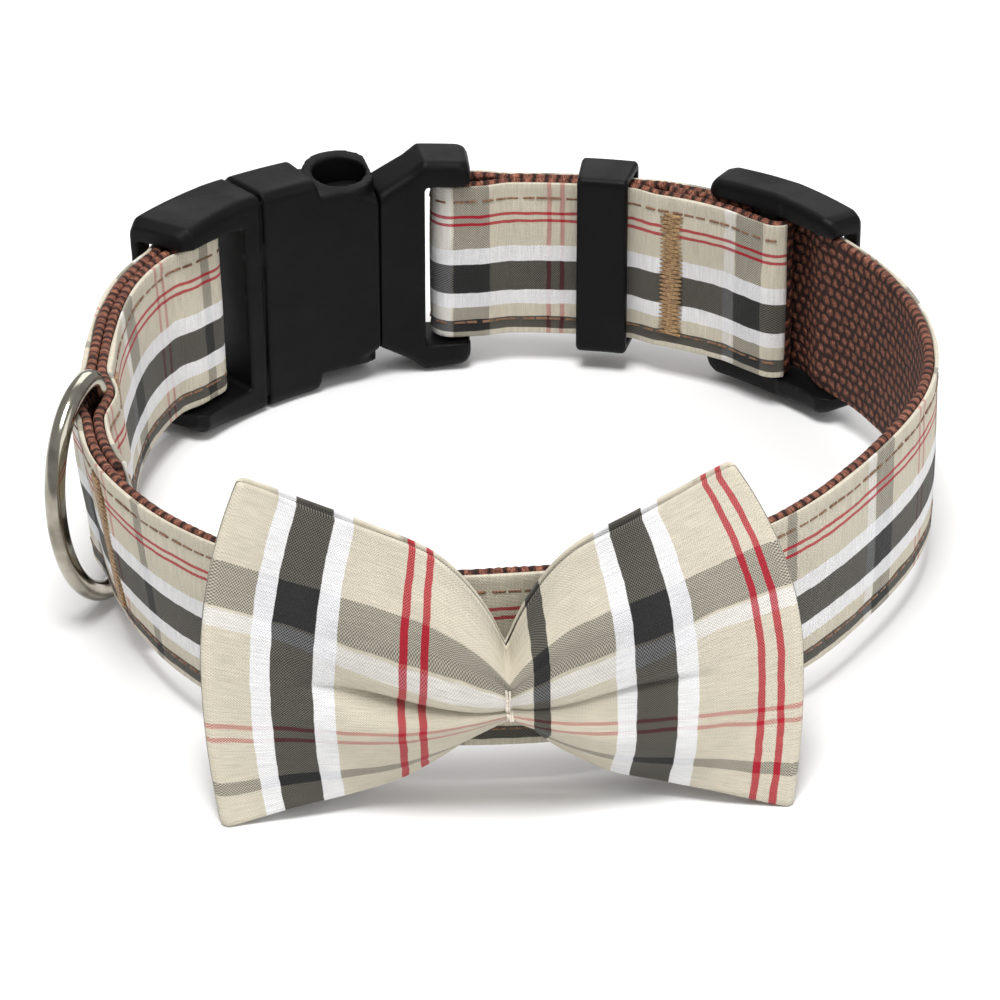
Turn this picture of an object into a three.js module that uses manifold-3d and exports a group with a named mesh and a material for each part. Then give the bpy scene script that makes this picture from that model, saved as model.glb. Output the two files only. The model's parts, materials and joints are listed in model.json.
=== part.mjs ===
// A bow tie collar for a pet, standing on its lower edge with the buckle fastened.
// A nylon strap with a cotton cover sewn to its outer face runs round the loop, turns back on itself
// at both halves of a side-release buckle, passes a keeper and a three-bar slider, and holds a D-ring.
// A folded cloth bow, pinched in the middle, sits on the front.
// Lengths are millimetres and +Z is up. "along" is measured round the loop from the middle of its
// front, anticlockwise from above, "out" is the distance outside the loop's line, and "height" is
// measured from the middle of the strap's width.
import * as THREE from "three";
import { mergeVertices } from "three/addons/utils/BufferGeometryUtils.js";
import Module from "manifold-3d";

const wasm = await Module();
wasm.setup();

// Fit and facets
const clearance = 0.3; // between pieces that touch
const facetLength = 4.5; // longest facet along the loop
const cornerSteps = 2; // facets on a moulded edge

// Loop
const loopWidth = 111;
const loopDepth = 119;
// The line's distance from the loop's middle, as a share of the oval's, and the outward lean of the
// strap in degrees, in equal turns from the right side anticlockwise from above.
const loopShape = [
  { reach: 1.0, lean: 0 },
  { reach: 1.03, lean: 0 },
  { reach: 1.03, lean: 0 },
  { reach: 1.0, lean: 0 },
  { reach: 1.03, lean: 0 },
  { reach: 1.06, lean: 4 },
  { reach: 1.01, lean: 5 },
  { reach: 1.06, lean: 9 },
  { reach: 1.08, lean: 3 },
  { reach: 1.0, lean: -2 },
  { reach: 0.97, lean: 0 },
  { reach: 0.94, lean: 0 },
];

// Strap
const strapWidth = 25;
const webbingThickness = 1.2;
const coverThickness = 1.0;
const coverHem = 0.3; // the cover stops this far inside each edge of the webbing
const layerGap = 0.4; // between the two runs of webbing where they lie together

// Buckle
const buckleHeight = 34;
const buckleThickness = 9.6;
const buckleStation = 0.5465; // the joint between plug and socket, as a share of the loop's length
const barThickness = 2;
const barDepth = 3.6;
const plugLength = 14.6;
const plugSlotWall = 7.4; // from the joint to the wall of the strap slot
const plugBar = 12.0; // from the joint to the strap's turn
const socketBodyLength = 20.6;
const socketFrameLength = 16.2;
const socketSlotWall = 24.6;
const socketBar = 29.8;
const socketNeckHeight = 25;
const socketEndTaper = 1; // the frame's end narrows by this at its rounded edge, and by twice this at its end
const grooveWidth = 0.6;
const grooveDepth = 0.5;
const cavityLength = 17.5;
const cavityHeight = 22.4;
const cavityThickness = 5;
const lobeStation = 5.0;
const lobeLength = 10.8;
const lobeWall = 1.4;
const lobeShoulder = 0.8; // length of the step from the lobes up to the body's full height
const lobeWaist = 2.4; // the body beside the lobes is this much lower than its full height
const windowTrim = 0.6; // the lobes' windows are narrower than their walls leave them by this
const padPlay = 1; // of the press pads in their windows
const padDrop = 3.2; // from the buckle's top to the pads
const endBarDepth = 2.8;
const endBarThickness = 1.7;
const tongueHeight = 7;
const tongueLength = 14;
const armHeight = 2.8;
const cavityPlay = 0.6; // of the tongue and arms in the socket's cavity
const plugThinner = 0.5; // than the socket, on each face
const plugTaper = 1.6; // the plug's end and its waist are this much lower than its full height
const mouldedEdge = 1.6; // edge rounding of the mouldings

// Keeper
const keeperStation = 0.452;
const keeperWidth = 8.0;
const keeperWall = 1.3;

// Slider
const sliderStation = 0.3755;
const sliderLength = 24;
const sliderRailHeight = 3.3;
const sliderSideBar = 2.8;
const sliderSideBarThickness = 1.6;
const sliderEdge = 1; // edge rounding
const sliderEndTaper = 1.6; // the ends are this much lower than the middle
const sliderCrown = 0.4; // and the rails this much lower where the ends start to round
const flapLength = 19; // of the strap's sewn end past the slider's middle bar

// D-ring
const ringStation = 0.7695;
const ringWire = 2.8;
const ringHeight = 27.6; // clear inside
const ringDepth = 13.2; // clear inside
const ringCorner = 3;
const ringSwing = 64; // degrees, from straight out towards the front
const ringEndGap = 0.5; // between the ends of the bent wire
const ringSides = 10;
const ringSteps = 44;
const ringCurve = 0.5523; // handle length of a quarter circle
const ringTackDistance = 21; // from the ring's bar to the stitched end of the strap

// Bow
const bowSpan = 74;
const bowTipTop = 23.6; // cloth from the middle of the pinch up to the tip's top edge
const bowWall = 1.0;
const bowShift = -2.2; // along the strap, from the middle of the loop's front
const bowYaw = 4;
const bowRest = 0.7; // from the cover to the back of the pinch, as the wings beside it touch first
const bowTipLean = 29;
const bowTipSweep = 4.5; // the tips lie this far behind the pinch
const bowTopBulge = { left: 0.14, right: 0.21 }; // share of the reach lost at the top corners
const bowFootBulge = 0.05;
const bowGap = 0.5; // least gap between the two cloth layers
const bowRidge = 2.7; // height of the ridges above and below the middle crease
const bowBackRidge = 0.5; // how much of that ridge the back layer has
const bowFullness = 1.3; // the most that the two layers stand apart beyond the least gap
const bowEdgeThinning = 0.6; // how much of that they lose at the top and the foot
// From the pinch to the tip: reach, top, foot, lean and sweep as shares of the tip's, and the ridge
// and the fullness as shares of the greatest.
const wingSections = [
  { reach: 0.0, top: 0.19, foot: 0.22, lean: 0.0, sweep: 0.0, ridge: 0.92, fullness: 0.15 },
  { reach: 0.07, top: 0.4, foot: 0.33, lean: 0.0, sweep: 0.0, ridge: 1.0, fullness: 0.3 },
  { reach: 0.17, top: 0.6, foot: 0.48, lean: 0.02, sweep: 0.0, ridge: 0.98, fullness: 0.5 },
  { reach: 0.27, top: 0.73, foot: 0.59, lean: 0.05, sweep: 0.0, ridge: 0.9, fullness: 0.7 },
  { reach: 0.38, top: 0.81, foot: 0.68, lean: 0.11, sweep: 0.0, ridge: 0.75, fullness: 0.85 },
  { reach: 0.56, top: 0.89, foot: 0.75, lean: 0.27, sweep: 0.05, ridge: 0.45, fullness: 1.0 },
  { reach: 0.78, top: 0.95, foot: 0.84, lean: 0.62, sweep: 0.34, ridge: 0.15, fullness: 0.75 },
  { reach: 1.0, top: 1.0, foot: 1.0, lean: 1.0, sweep: 1.0, ridge: 0.0, fullness: 0.3 },
];
const bowRows = 12;
const tipSteps = 4;

// Worked out from the sizes above
const halfStrap = strapWidth / 2;
const halfBuckle = buckleHeight / 2;
const halfThick = buckleThickness / 2;
const openHalf = halfStrap + clearance; // half height of every slot that the strap passes
const coverFrom = webbingThickness / 2 + clearance; // the cover, measured from the webbing's middle
const coverTo = coverFrom + coverThickness;
const closeLine = layerGap / 2 + webbingThickness / 2;
const barLine = barThickness / 2 + clearance + webbingThickness / 2;
const ringLine = ringWire / 2 + clearance + webbingThickness / 2;
const barSide = sliderLength / 2 - sliderSideBar / 2;
const sliderBarOut = -0.3 * barThickness; // the middle bar lies inside the loop's line
const flapLine = -layerGap;
const stackInner = flapLine - webbingThickness - layerGap;
const stackOuter = flapLine + webbingThickness + layerGap;
const keeperInside = closeLine + coverTo + clearance;
const degree = Math.PI / 180;
const bowTipFoot = halfBuckle / Math.cos(bowTipLean * degree); // the tips' lower corners stand on the floor

// A smooth value through rows at equal steps, repeating after the last
function roundTable(rows, column, share) {
  const place = THREE.MathUtils.euclideanModulo(share, 1) * rows.length;
  const index = Math.floor(place);
  const part = place - index;
  const [a, b, c, d] = [-1, 0, 1, 2].map((step) => rows[(index + step + rows.length) % rows.length][column]);
  const bend = (2 * a - 5 * b + 4 * c - d) * part ** 2 + (3 * b - a - 3 * c + d) * part ** 3;
  return b + ((c - a) * part + bend) / 2;
}

// A smooth value between rows that are keyed by their reach
function wingValue(column, reach) {
  const last = wingSections.length - 1;
  const index = Math.min(wingSections.findLastIndex((row) => row.reach <= reach + 1e-9), last - 1);
  const row = (step) => wingSections[Math.min(Math.max(index + step, 0), last)];
  const span = row(1).reach - row(0).reach;
  const slope = (from, to) => (row(to)[column] - row(from)[column]) / (row(to).reach - row(from).reach || 1);
  const start = slope(index > 0 ? -1 : 0, 1) * span;
  const end = slope(0, index < last - 1 ? 2 : 1) * span;
  const part = (reach - row(0).reach) / span;
  const rise = row(1)[column] - row(0)[column];
  return row(0)[column] + part * start + part ** 2 * (3 * rise - 2 * start - end) + part ** 3 * (start + end - 2 * rise);
}

// The closed line that the collar follows, from the middle of its front, anticlockwise from above
class LoopLine extends THREE.Curve {
  getPoint(share, target = new THREE.Vector3()) {
    const turn = share - 0.25;
    const reach = roundTable(loopShape, "reach", turn);
    const angle = turn * 2 * Math.PI;
    return target.set((Math.cos(angle) * loopWidth * reach) / 2, (Math.sin(angle) * loopDepth * reach) / 2, 0);
  }
}
const loopLine = new LoopLine();
loopLine.arcLengthDivisions = 1440;
const loopLength = loopLine.getLength();

// Position, heading, outward direction and lean at a distance along the loop
function loopFrame(along) {
  const share = loopLine.getUtoTmapping(THREE.MathUtils.euclideanModulo(along / loopLength, 1));
  const heading = loopLine.getTangent(share);
  return {
    point: loopLine.getPoint(share),
    heading,
    outward: new THREE.Vector3(heading.y, -heading.x, 0),
    lean: roundTable(loopShape, "lean", share - 0.25) * degree,
  };
}

function onLoop(along, out, height) {
  const { point, outward, lean } = loopFrame(along);
  point.addScaledVector(outward, out + height * Math.tan(lean));
  point.z = height;
  return point;
}

// A surface through rings of points, closed on itself or with a face at each end, fanned from its
// middle so that a cut through the face leaves no slivers
function skin(rings, closed = false) {
  const count = rings[0].length;
  const points = rings.flat();
  const index = [];
  const spans = closed ? rings.length : rings.length - 1;
  for (let i = 0; i < spans; i++) {
    for (let j = 0; j < count; j++) {
      const [here, next] = [i * count, ((i + 1) % rings.length) * count];
      const across = (j + 1) % count;
      index.push(here + j, here + across, next + across, here + j, next + across, next + j);
    }
  }
  const ends = closed ? [] : [rings[0], rings.at(-1)];
  for (const ring of ends) {
    const first = points.indexOf(ring[0]);
    const middle = points.length;
    points.push(ring.reduce((sum, point) => sum.add(point), new THREE.Vector3()).divideScalar(count));
    for (let j = 0; j < count; j++) {
      const pair = [first + j, first + ((j + 1) % count)];
      index.push(middle, ...(ring === rings[0] ? pair.reverse() : pair));
    }
  }
  return new THREE.BufferGeometry().setFromPoints(points).setIndex(index);
}

function solidFrom(geometry) {
  const bare = geometry.clone();
  bare.deleteAttribute("normal");
  bare.deleteAttribute("uv");
  const merged = mergeVertices(bare, 1e-4);
  return new wasm.Manifold(
    new wasm.Mesh({
      numProp: 3,
      vertProperties: merged.attributes.position.array,
      triVerts: new Uint32Array(merged.index.array),
    }),
  );
}

function geometryFrom(solid) {
  const mesh = solid.getMesh();
  const geometry = new THREE.BufferGeometry();
  geometry.setAttribute("position", new THREE.BufferAttribute(mesh.vertProperties, 3));
  return geometry.setIndex(new THREE.BufferAttribute(mesh.triVerts, 1));
}

// A shape drawn straight, with x along the loop, y inwards and z up, wrapped onto the loop
function wrapped(geometry) {
  const position = geometry.attributes.position;
  for (let i = 0; i < position.count; i++) {
    const point = onLoop(position.getX(i), -position.getY(i), position.getZ(i));
    position.setXYZ(i, point.x, point.y, point.z);
  }
  return solidFrom(geometry);
}

// A block between limits along, out and in height
function block([fromAlong, toAlong], [fromOut, toOut], [low, high]) {
  const length = toAlong - fromAlong;
  const facets = Math.ceil(length / facetLength);
  const box = new THREE.BoxGeometry(length, toOut - fromOut, high - low, facets, 1, 1);
  return wrapped(box.translate((fromAlong + toAlong) / 2, -(fromOut + toOut) / 2, (low + high) / 2));
}

// An upright oval post
function post(along, out, lengthAlong, thickness, [low, high], sides = 16) {
  const cylinder = new THREE.CylinderGeometry(0.5, 0.5, high - low, sides).rotateX(Math.PI / 2);
  cylinder.scale(lengthAlong, thickness, 1);
  return wrapped(cylinder.translate(along, -out, (low + high) / 2));
}

// A strap bar: a flat upright bar with a round nose at "along", its back towards "side"
function strapBar(along, out, side, halfHeight) {
  const back = along + side * (barDepth - barThickness / 2);
  const limits = [Math.min(along, back), Math.max(along, back)];
  const nose = post(along, out, barThickness, barThickness, [-halfHeight, halfHeight], 12);
  return block(limits, [out - barThickness / 2, out + barThickness / 2], [-halfHeight, halfHeight]).add(nose);
}

// A moulding through upright sections, each a rectangle with rounded corners
function moulding(sections) {
  const rings = [];
  for (let i = 0; i < sections.length; i++) {
    const row = sections[i];
    const next = sections[i + 1] ?? row;
    const steps = i + 1 < sections.length ? Math.ceil((next.along - row.along) / facetLength) : 1;
    for (let step = 0; step < steps; step++) {
      const mix = (column) => THREE.MathUtils.lerp(row[column], next[column], step / steps);
      rings.push(sectionRing(mix("along"), mix("half"), mix("inner"), mix("outer"), mix("edge")));
    }
  }
  return solidFrom(skin(rings));
}

function sectionRing(along, half, inner, outer, edge) {
  const ring = [];
  const corners = [
    [half - edge, inner + edge, -1],
    [half - edge, outer - edge, 0],
    [-half + edge, outer - edge, 1],
    [-half + edge, inner + edge, 2],
  ];
  for (const [height, out, quarter] of corners) {
    for (let step = 0; step <= cornerSteps; step++) {
      const angle = ((quarter + step / cornerSteps) * Math.PI) / 2;
      ring.push(onLoop(along, out + edge * Math.sin(angle), height + edge * Math.cos(angle)));
    }
  }
  return ring;
}

// The strap's route, as points along and out, with a soft change between the rows of a leg
function leg(rows) {
  const points = [];
  rows.slice(1).forEach((to, i) => {
    const from = rows[i];
    const length = Math.abs(to.along - from.along);
    const steps = from.out === to.out ? Math.ceil(length / facetLength) : Math.max(3, Math.ceil(length / facetLength));
    for (let step = 0; step < steps; step++) {
      const part = step / steps;
      points.push({
        along: THREE.MathUtils.lerp(from.along, to.along, part),
        out: THREE.MathUtils.lerp(from.out, to.out, THREE.MathUtils.smoothstep(part, 0, 1)),
      });
    }
  });
  return points;
}

// Half a turn round a bar, from the side with "startSign" outwards (-1 or 1) to the other
function halfTurn(along, out, nose, startSign, steps = 6) {
  return Array.from({ length: steps + 1 }, (_, step) => {
    const angle = (step / steps) * Math.PI;
    return { along: along + nose * barLine * Math.sin(angle), out: out + startSign * barLine * Math.cos(angle) };
  });
}

const stations = {
  joint: buckleStation * loopLength,
  keeper: keeperStation * loopLength,
  slider: sliderStation * loopLength,
  ring: ringStation * loopLength,
};
const plugTurn = stations.joint - plugBar;
const socketTurn = stations.joint + socketBar;
const lap = loopLength; // the outer run passes the middle of the front
const barStraight = barDepth; // the strap runs straight this far beside a bar
const settle = 9; // the strap settles from a bar to its neighbour over this length
const ringSettle = 8;
const sliderNear = barDepth - barThickness / 2;
const sliderCrest = sliderBarOut + barLine + webbingThickness + layerGap; // the outer run over the turn

const strapRoute = [
  ...leg([
    { along: stations.ring + ringTackDistance, out: -closeLine },
    { along: stations.ring + ringSettle, out: -closeLine },
    { along: stations.ring, out: -ringLine },
    { along: stations.ring - ringSettle, out: -closeLine },
    { along: socketTurn + settle, out: -closeLine },
    { along: socketTurn + barStraight, out: -barLine },
    { along: socketTurn, out: -barLine },
  ]),
  ...halfTurn(socketTurn, 0, -1, -1),
  ...leg([
    { along: socketTurn + 1, out: barLine },
    { along: socketTurn + barStraight, out: barLine },
    { along: socketTurn + settle, out: closeLine },
    { along: stations.ring - ringSettle, out: closeLine },
    { along: stations.ring, out: ringLine },
    { along: stations.ring + ringSettle, out: closeLine },
    { along: lap + stations.slider - barSide + sliderSideBar / 2, out: closeLine },
    { along: lap + stations.slider - sliderNear, out: sliderCrest },
    { along: lap + stations.slider + sliderNear, out: sliderCrest },
    { along: lap + stations.slider + barSide - sliderSideBar / 2 - 1, out: stackOuter },
    { along: lap + stations.slider + flapLength, out: stackOuter },
    { along: lap + stations.keeper - keeperWidth / 2, out: closeLine },
    { along: lap + plugTurn - settle, out: closeLine },
    { along: lap + plugTurn - barStraight, out: barLine },
    { along: lap + plugTurn, out: barLine },
  ]),
  ...halfTurn(lap + plugTurn, 0, 1, 1),
  ...leg([
    { along: lap + plugTurn - 1, out: -barLine },
    { along: lap + plugTurn - barStraight, out: -barLine },
    { along: lap + plugTurn - settle, out: -closeLine },
    { along: lap + stations.keeper - keeperWidth / 2, out: -closeLine },
    { along: lap + stations.slider + flapLength, out: stackInner },
    { along: lap + stations.slider + barSide - sliderSideBar / 2, out: stackInner },
    { along: lap + stations.slider + sliderNear, out: sliderBarOut - barLine },
    { along: lap + stations.slider, out: sliderBarOut - barLine },
  ]),
  ...halfTurn(lap + stations.slider, sliderBarOut, -1, -1),
  ...leg([
    { along: lap + stations.slider + 1, out: sliderBarOut + barLine },
    { along: lap + stations.slider + sliderNear, out: sliderBarOut + barLine },
    { along: lap + stations.slider + barSide - sliderSideBar / 2, out: flapLine },
    { along: lap + stations.slider + flapLength, out: flapLine },
  ]),
  { along: lap + stations.slider + flapLength, out: flapLine },
];
const coverEnd = strapRoute.findLastIndex((point) => point.along <= lap + stations.slider - barLine + 0.01);

// A flat strip that keeps to one side of the route, from "near" to "far" on its left
function strip(route, near, far, halfWidth) {
  const rings = route.map((point, i) => {
    const before = route[Math.max(i - 1, 0)];
    const after = route[Math.min(i + 1, route.length - 1)];
    const heading = new THREE.Vector2(after.along - before.along, after.out - before.out).normalize();
    const corner = (side, height) => onLoop(point.along - heading.y * side, point.out + heading.x * side, height);
    return [corner(near, halfWidth), corner(far, halfWidth), corner(far, -halfWidth), corner(near, -halfWidth)];
  });
  return skin(rings);
}

function buildSocket() {
  const at = (distance) => stations.joint + distance;
  const bodyEnd = socketBodyLength;
  const lobeEnd = lobeStation + lobeLength / 2;
  const frameStart = bodyEnd + grooveWidth;
  const frameEnd = frameStart + socketFrameLength;
  const inGroove = { half: halfBuckle - grooveDepth, inner: grooveDepth - halfThick, outer: halfThick - grooveDepth };
  const full = { half: halfBuckle, inner: -halfThick, outer: halfThick, edge: mouldedEdge };
  const frameOuter = barLine + coverTo + clearance + endBarThickness;
  const body = moulding([
    { ...full, along: at(clearance), half: socketNeckHeight / 2 },
    { ...full, along: at(lobeStation), half: halfBuckle - lobeWaist },
    { ...full, along: at(lobeEnd), half: halfBuckle - lobeWaist + socketEndTaper },
    { ...full, along: at(lobeEnd + lobeShoulder) },
    { ...full, along: at(bodyEnd) },
    { ...inGroove, edge: mouldedEdge, along: at(bodyEnd + grooveWidth / 4) },
    { ...inGroove, edge: mouldedEdge, along: at(frameStart - grooveWidth / 4) },
    { ...full, along: at(frameStart) },
    { ...full, along: at(socketSlotWall) },
    { ...full, along: at(frameEnd - mouldedEdge), half: halfBuckle - socketEndTaper, outer: frameOuter },
    {
      ...full,
      along: at(frameEnd),
      half: halfBuckle - 2 * socketEndTaper,
      inner: socketEndTaper - halfThick,
      outer: frameOuter - socketEndTaper / 2,
    },
  ]);
  const windowLength = lobeLength - 2 * lobeWall;
  const windowThickness = buckleThickness - 2 * lobeWall - windowTrim;
  const lobeTop = halfBuckle - clearance;
  const lobes = post(at(lobeStation), 0, lobeLength, buckleThickness, [-lobeTop, lobeTop], 20);
  const windows = post(at(lobeStation), 0, windowLength, windowThickness, [-halfBuckle - 1, halfBuckle + 1], 20);
  const neckSlot = block([at(-lobeWall), at(clearance)], [-halfBuckle, halfBuckle], [-buckleHeight, buckleHeight]);
  const halfCavity = cavityHeight / 2;
  const cavity = block([at(-1), at(cavityLength)], [-cavityThickness / 2, cavityThickness / 2], [-halfCavity, halfCavity]);
  const strapRoom = block(
    [at(socketSlotWall), at(frameEnd + 1)],
    [-halfBuckle, frameOuter - endBarThickness],
    [-openHalf, openHalf],
  );
  const backWindow = block(
    [at(socketSlotWall), at(frameEnd - endBarDepth)],
    [0, halfBuckle],
    [-openHalf, openHalf],
  );
  return body
    .add(lobes)
    .subtract(neckSlot)
    .subtract(cavity)
    .subtract(windows.intersect(outsideCavity(at)))
    .subtract(strapRoom)
    .subtract(backWindow)
    .add(strapBar(socketTurn, 0, 1, openHalf + mouldedEdge));
}

// The room above and below the socket's cavity floor, so that the windows leave the front and back whole
function outsideCavity(at) {
  const limits = [at(-lobeLength), at(2 * lobeLength)];
  const above = block(limits, [-halfBuckle, halfBuckle], [cavityHeight / 2 - 1, buckleHeight]);
  const below = block(limits, [-halfBuckle, halfBuckle], [-buckleHeight, 1 - cavityHeight / 2]);
  return above.add(below);
}

function buildPlug() {
  const at = (distance) => stations.joint - distance;
  const thick = halfThick - plugThinner;
  const thinEnd = thick - plugTaper / 2;
  const full = { inner: -thick, outer: thick, edge: mouldedEdge };
  const base = moulding([
    { ...full, along: at(plugLength), half: halfBuckle - plugTaper, inner: -thinEnd, outer: thinEnd },
    { ...full, along: at(plugLength - mouldedEdge), half: halfBuckle - plugThinner },
    { ...full, along: at(plugSlotWall), half: halfBuckle },
    { ...full, along: at(plugSlotWall - barThickness), half: halfBuckle - plugTaper },
    { ...full, along: at(0), half: socketNeckHeight / 2 },
  ]);
  const strapRoom = block([at(plugLength + 1), at(plugSlotWall)], [-halfBuckle, halfBuckle], [-openHalf, openHalf]);
  const tongueThickness = cavityThickness - 2 * cavityPlay;
  const tongue = block(
    [at(1), at(-tongueLength)],
    [-tongueThickness / 2, tongueThickness / 2],
    [-tongueHeight / 2, tongueHeight / 2],
  );
  const padLength = lobeLength - 2 * lobeWall - padPlay;
  let plug = base.subtract(strapRoom).add(strapBar(plugTurn, 0, -1, openHalf + mouldedEdge)).add(tongue);
  for (const side of [-1, 1]) {
    const limits = (low, high) => (side > 0 ? [low, high] : [-high, -low]);
    const armTop = cavityHeight / 2 - cavityPlay;
    const arm = block(
      [at(1), at(-lobeStation - padLength / 2)],
      [-tongueThickness / 2, tongueThickness / 2],
      limits(armTop - armHeight, armTop),
    );
    const pad = post(
      stations.joint + lobeStation,
      0,
      padLength,
      tongueThickness,
      limits(armTop - armHeight / 2, halfBuckle - padDrop),
      20,
    );
    plug = plug.add(arm).add(pad);
  }
  return plug;
}

function buildKeeper() {
  const outside = keeperInside + keeperWall;
  const half = openHalf + keeperWall;
  const row = { half, inner: -outside, outer: outside, edge: keeperWall - 0.3 };
  const loop = moulding([
    { ...row, along: stations.keeper - keeperWidth / 2 },
    { ...row, along: stations.keeper + keeperWidth / 2 },
  ]);
  const room = block(
    [stations.keeper - keeperWidth / 2 - 1, stations.keeper + keeperWidth / 2 + 1],
    [-keeperInside, keeperInside],
    [-openHalf, openHalf],
  );
  return loop.subtract(room);
}

function buildSlider() {
  const barInner = stackOuter + coverTo + clearance;
  const railOuter = barInner + sliderSideBarThickness;
  const railInner = sliderBarOut - barThickness / 2;
  const half = openHalf + sliderRailHeight;
  const end = {
    half: half - sliderEndTaper,
    inner: railInner + sliderEdge,
    outer: railOuter - sliderCrown,
    edge: sliderEdge,
  };
  const middle = { half, inner: railInner, outer: railOuter, edge: sliderEdge };
  const roundFrom = sliderLength / 2 - barThickness;
  const at = (distance) => stations.slider + distance;
  const frame = moulding([
    { ...end, along: at(-sliderLength / 2) },
    { ...middle, half: half - sliderCrown, along: at(-roundFrom) },
    { ...middle, along: at(0) },
    { ...middle, half: half - sliderCrown, along: at(roundFrom) },
    { ...end, along: at(sliderLength / 2) },
  ]);
  const inside = [-openHalf, openHalf];
  const strapRoom = block([at(-sliderLength), at(sliderLength)], [-halfBuckle, barInner], inside);
  const middleRoom = block([at(-barSide + sliderSideBar / 2), at(barSide - sliderSideBar / 2)], [0, halfBuckle], inside);
  return frame.subtract(strapRoom).subtract(middleRoom).add(strapBar(at(0), sliderBarOut, 1, openHalf + sliderEdge));
}

// The D-ring lies in its own x-z plane, with its straight bar on the z axis
function buildRing() {
  const half = ringHeight / 2 + ringWire / 2;
  const reach = ringDepth + ringWire;
  const point = (x, z) => new THREE.Vector3(x, 0, z);
  const line = new THREE.CurvePath();
  line.add(new THREE.LineCurve3(point(0, ringEndGap / 2), point(0, half - ringCorner)));
  line.add(new THREE.QuadraticBezierCurve3(point(0, half - ringCorner), point(0, half), point(ringCorner, half)));
  const toTip = [point(ringCorner + ringCurve * (reach - ringCorner), half), point(reach, ringCurve * half)];
  line.add(new THREE.CubicBezierCurve3(point(ringCorner, half), ...toTip, point(reach, 0)));
  const mirrored = (curve) => new curve.constructor(...[curve.v3, curve.v2, curve.v1, curve.v0].filter(Boolean).map(
    (p) => point(p.x, -p.z),
  ));
  for (const curve of line.curves.slice().reverse()) {
    line.add(mirrored(curve));
  }
  const section = new THREE.Shape().absarc(0, 0, ringWire / 2, 0, 2 * Math.PI);
  return new THREE.ExtrudeGeometry(section, {
    extrudePath: line,
    steps: ringSteps,
    curveSegments: ringSides,
    bevelEnabled: false,
  });
}

// A point of the bow's middle surface, for a place on one wing: reach from the pinch to the tip, and
// across from -1 at the foot to 1 at the top. The fold is the ridges' height there.
function bowPlace(side, reach, across) {
  const edge = across > 0 ? bowTipTop * wingValue("top", reach) : bowTipFoot * wingValue("foot", reach);
  const lean = bowTipLean * degree * wingValue("lean", reach);
  const topBulge = side > 0 ? bowTopBulge.right : bowTopBulge.left;
  const bulge = (across > 0 ? topBulge : bowFootBulge) * across ** 2;
  return {
    x: side * reach * (bowSpan / 2) * (1 - bulge),
    y: wingValue("sweep", reach) * bowTipSweep + across * edge * Math.sin(lean),
    z: across * edge * Math.cos(lean),
    fold: wingValue("ridge", reach) * bowRidge * Math.sin(Math.PI * across) ** 2,
    apart: (bowGap + wingValue("fullness", reach) * bowFullness * (1 - bowEdgeThinning * across ** 2)) / 2,
  };
}

// One strip of cloth round both wings: the front, the right tip, the back and the left tip
function buildBow() {
  const reaches = [1, 0.88, 0.76, 0.64, 0.52, 0.4, 0.29, 0.19, 0.1, 0.04];
  const rings = [];
  const addRing = (side, reach, turn) => {
    const ring = [];
    for (const thickness of [bowWall, 0]) {
      for (let row = 0; row <= bowRows; row++) {
        const across = (thickness ? 1 : -1) * ((2 * row) / bowRows - 1);
        const place = bowPlace(side, reach, across);
        const reachOut = (place.apart + thickness) * Math.sin(turn);
        const forward = (place.apart + thickness) * Math.cos(turn);
        const fold = place.fold * (turn < Math.PI / 2 ? 1 : -bowBackRidge);
        ring.push(new THREE.Vector3(place.x + side * reachOut, place.y - forward - fold, place.z));
      }
    }
    rings.push(ring.reverse());
  };
  reaches.forEach((reach) => addRing(-1, reach, 0));
  addRing(1, 0, 0);
  reaches.toReversed().forEach((reach) => addRing(1, reach, 0));
  for (let step = 1; step < tipSteps; step++) addRing(1, 1, (Math.PI * step) / tipSteps);
  reaches.forEach((reach) => addRing(1, reach, Math.PI));
  addRing(1, 0, Math.PI);
  reaches.toReversed().forEach((reach) => addRing(-1, reach, Math.PI));
  for (let step = tipSteps - 1; step > 0; step--) addRing(-1, 1, (Math.PI * step) / tipSteps);
  return skin(rings, true);
}

const collar = new THREE.Group();

function addPiece(name, geometry, color, roughness, metalness = 0) {
  const piece = new THREE.Mesh(geometry, new THREE.MeshStandardMaterial({ color, roughness, metalness }));
  piece.name = name;
  collar.add(piece);
  return piece;
}

const brown = 0x5a2f22;
const sand = 0xd2c6ae;
const black = 0x16171a;
const nickel = 0xb9b5a6;

addPiece("webbing", strip(strapRoute, -webbingThickness / 2, webbingThickness / 2, halfStrap), brown, 0.85);
addPiece("cover", strip(strapRoute.slice(0, coverEnd + 1), coverFrom, coverTo, halfStrap - coverHem), sand, 0.9);
addPiece("buckle_socket", geometryFrom(buildSocket()), black, 0.45);
addPiece("buckle_plug", geometryFrom(buildPlug()), black, 0.45);
addPiece("keeper", geometryFrom(buildKeeper()), black, 0.5);
addPiece("slider", geometryFrom(buildSlider()), black, 0.45);

// The D-ring turns about its straight bar, which leans with the strap
const ringFrame = loopFrame(stations.ring);
const ringAxis = new THREE.Vector3(0, 0, Math.cos(ringFrame.lean)).addScaledVector(
  ringFrame.outward,
  Math.sin(ringFrame.lean),
);
const ringReach = new THREE.Vector3()
  .crossVectors(ringFrame.heading, ringAxis)
  .applyAxisAngle(ringAxis, ringSwing * degree);
const ring = addPiece("d_ring", buildRing(), nickel, 0.25, 1);
ring.position.copy(ringFrame.point);
ring.quaternion.setFromRotationMatrix(
  new THREE.Matrix4().makeBasis(ringReach, new THREE.Vector3().crossVectors(ringAxis, ringReach), ringAxis),
);

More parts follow.
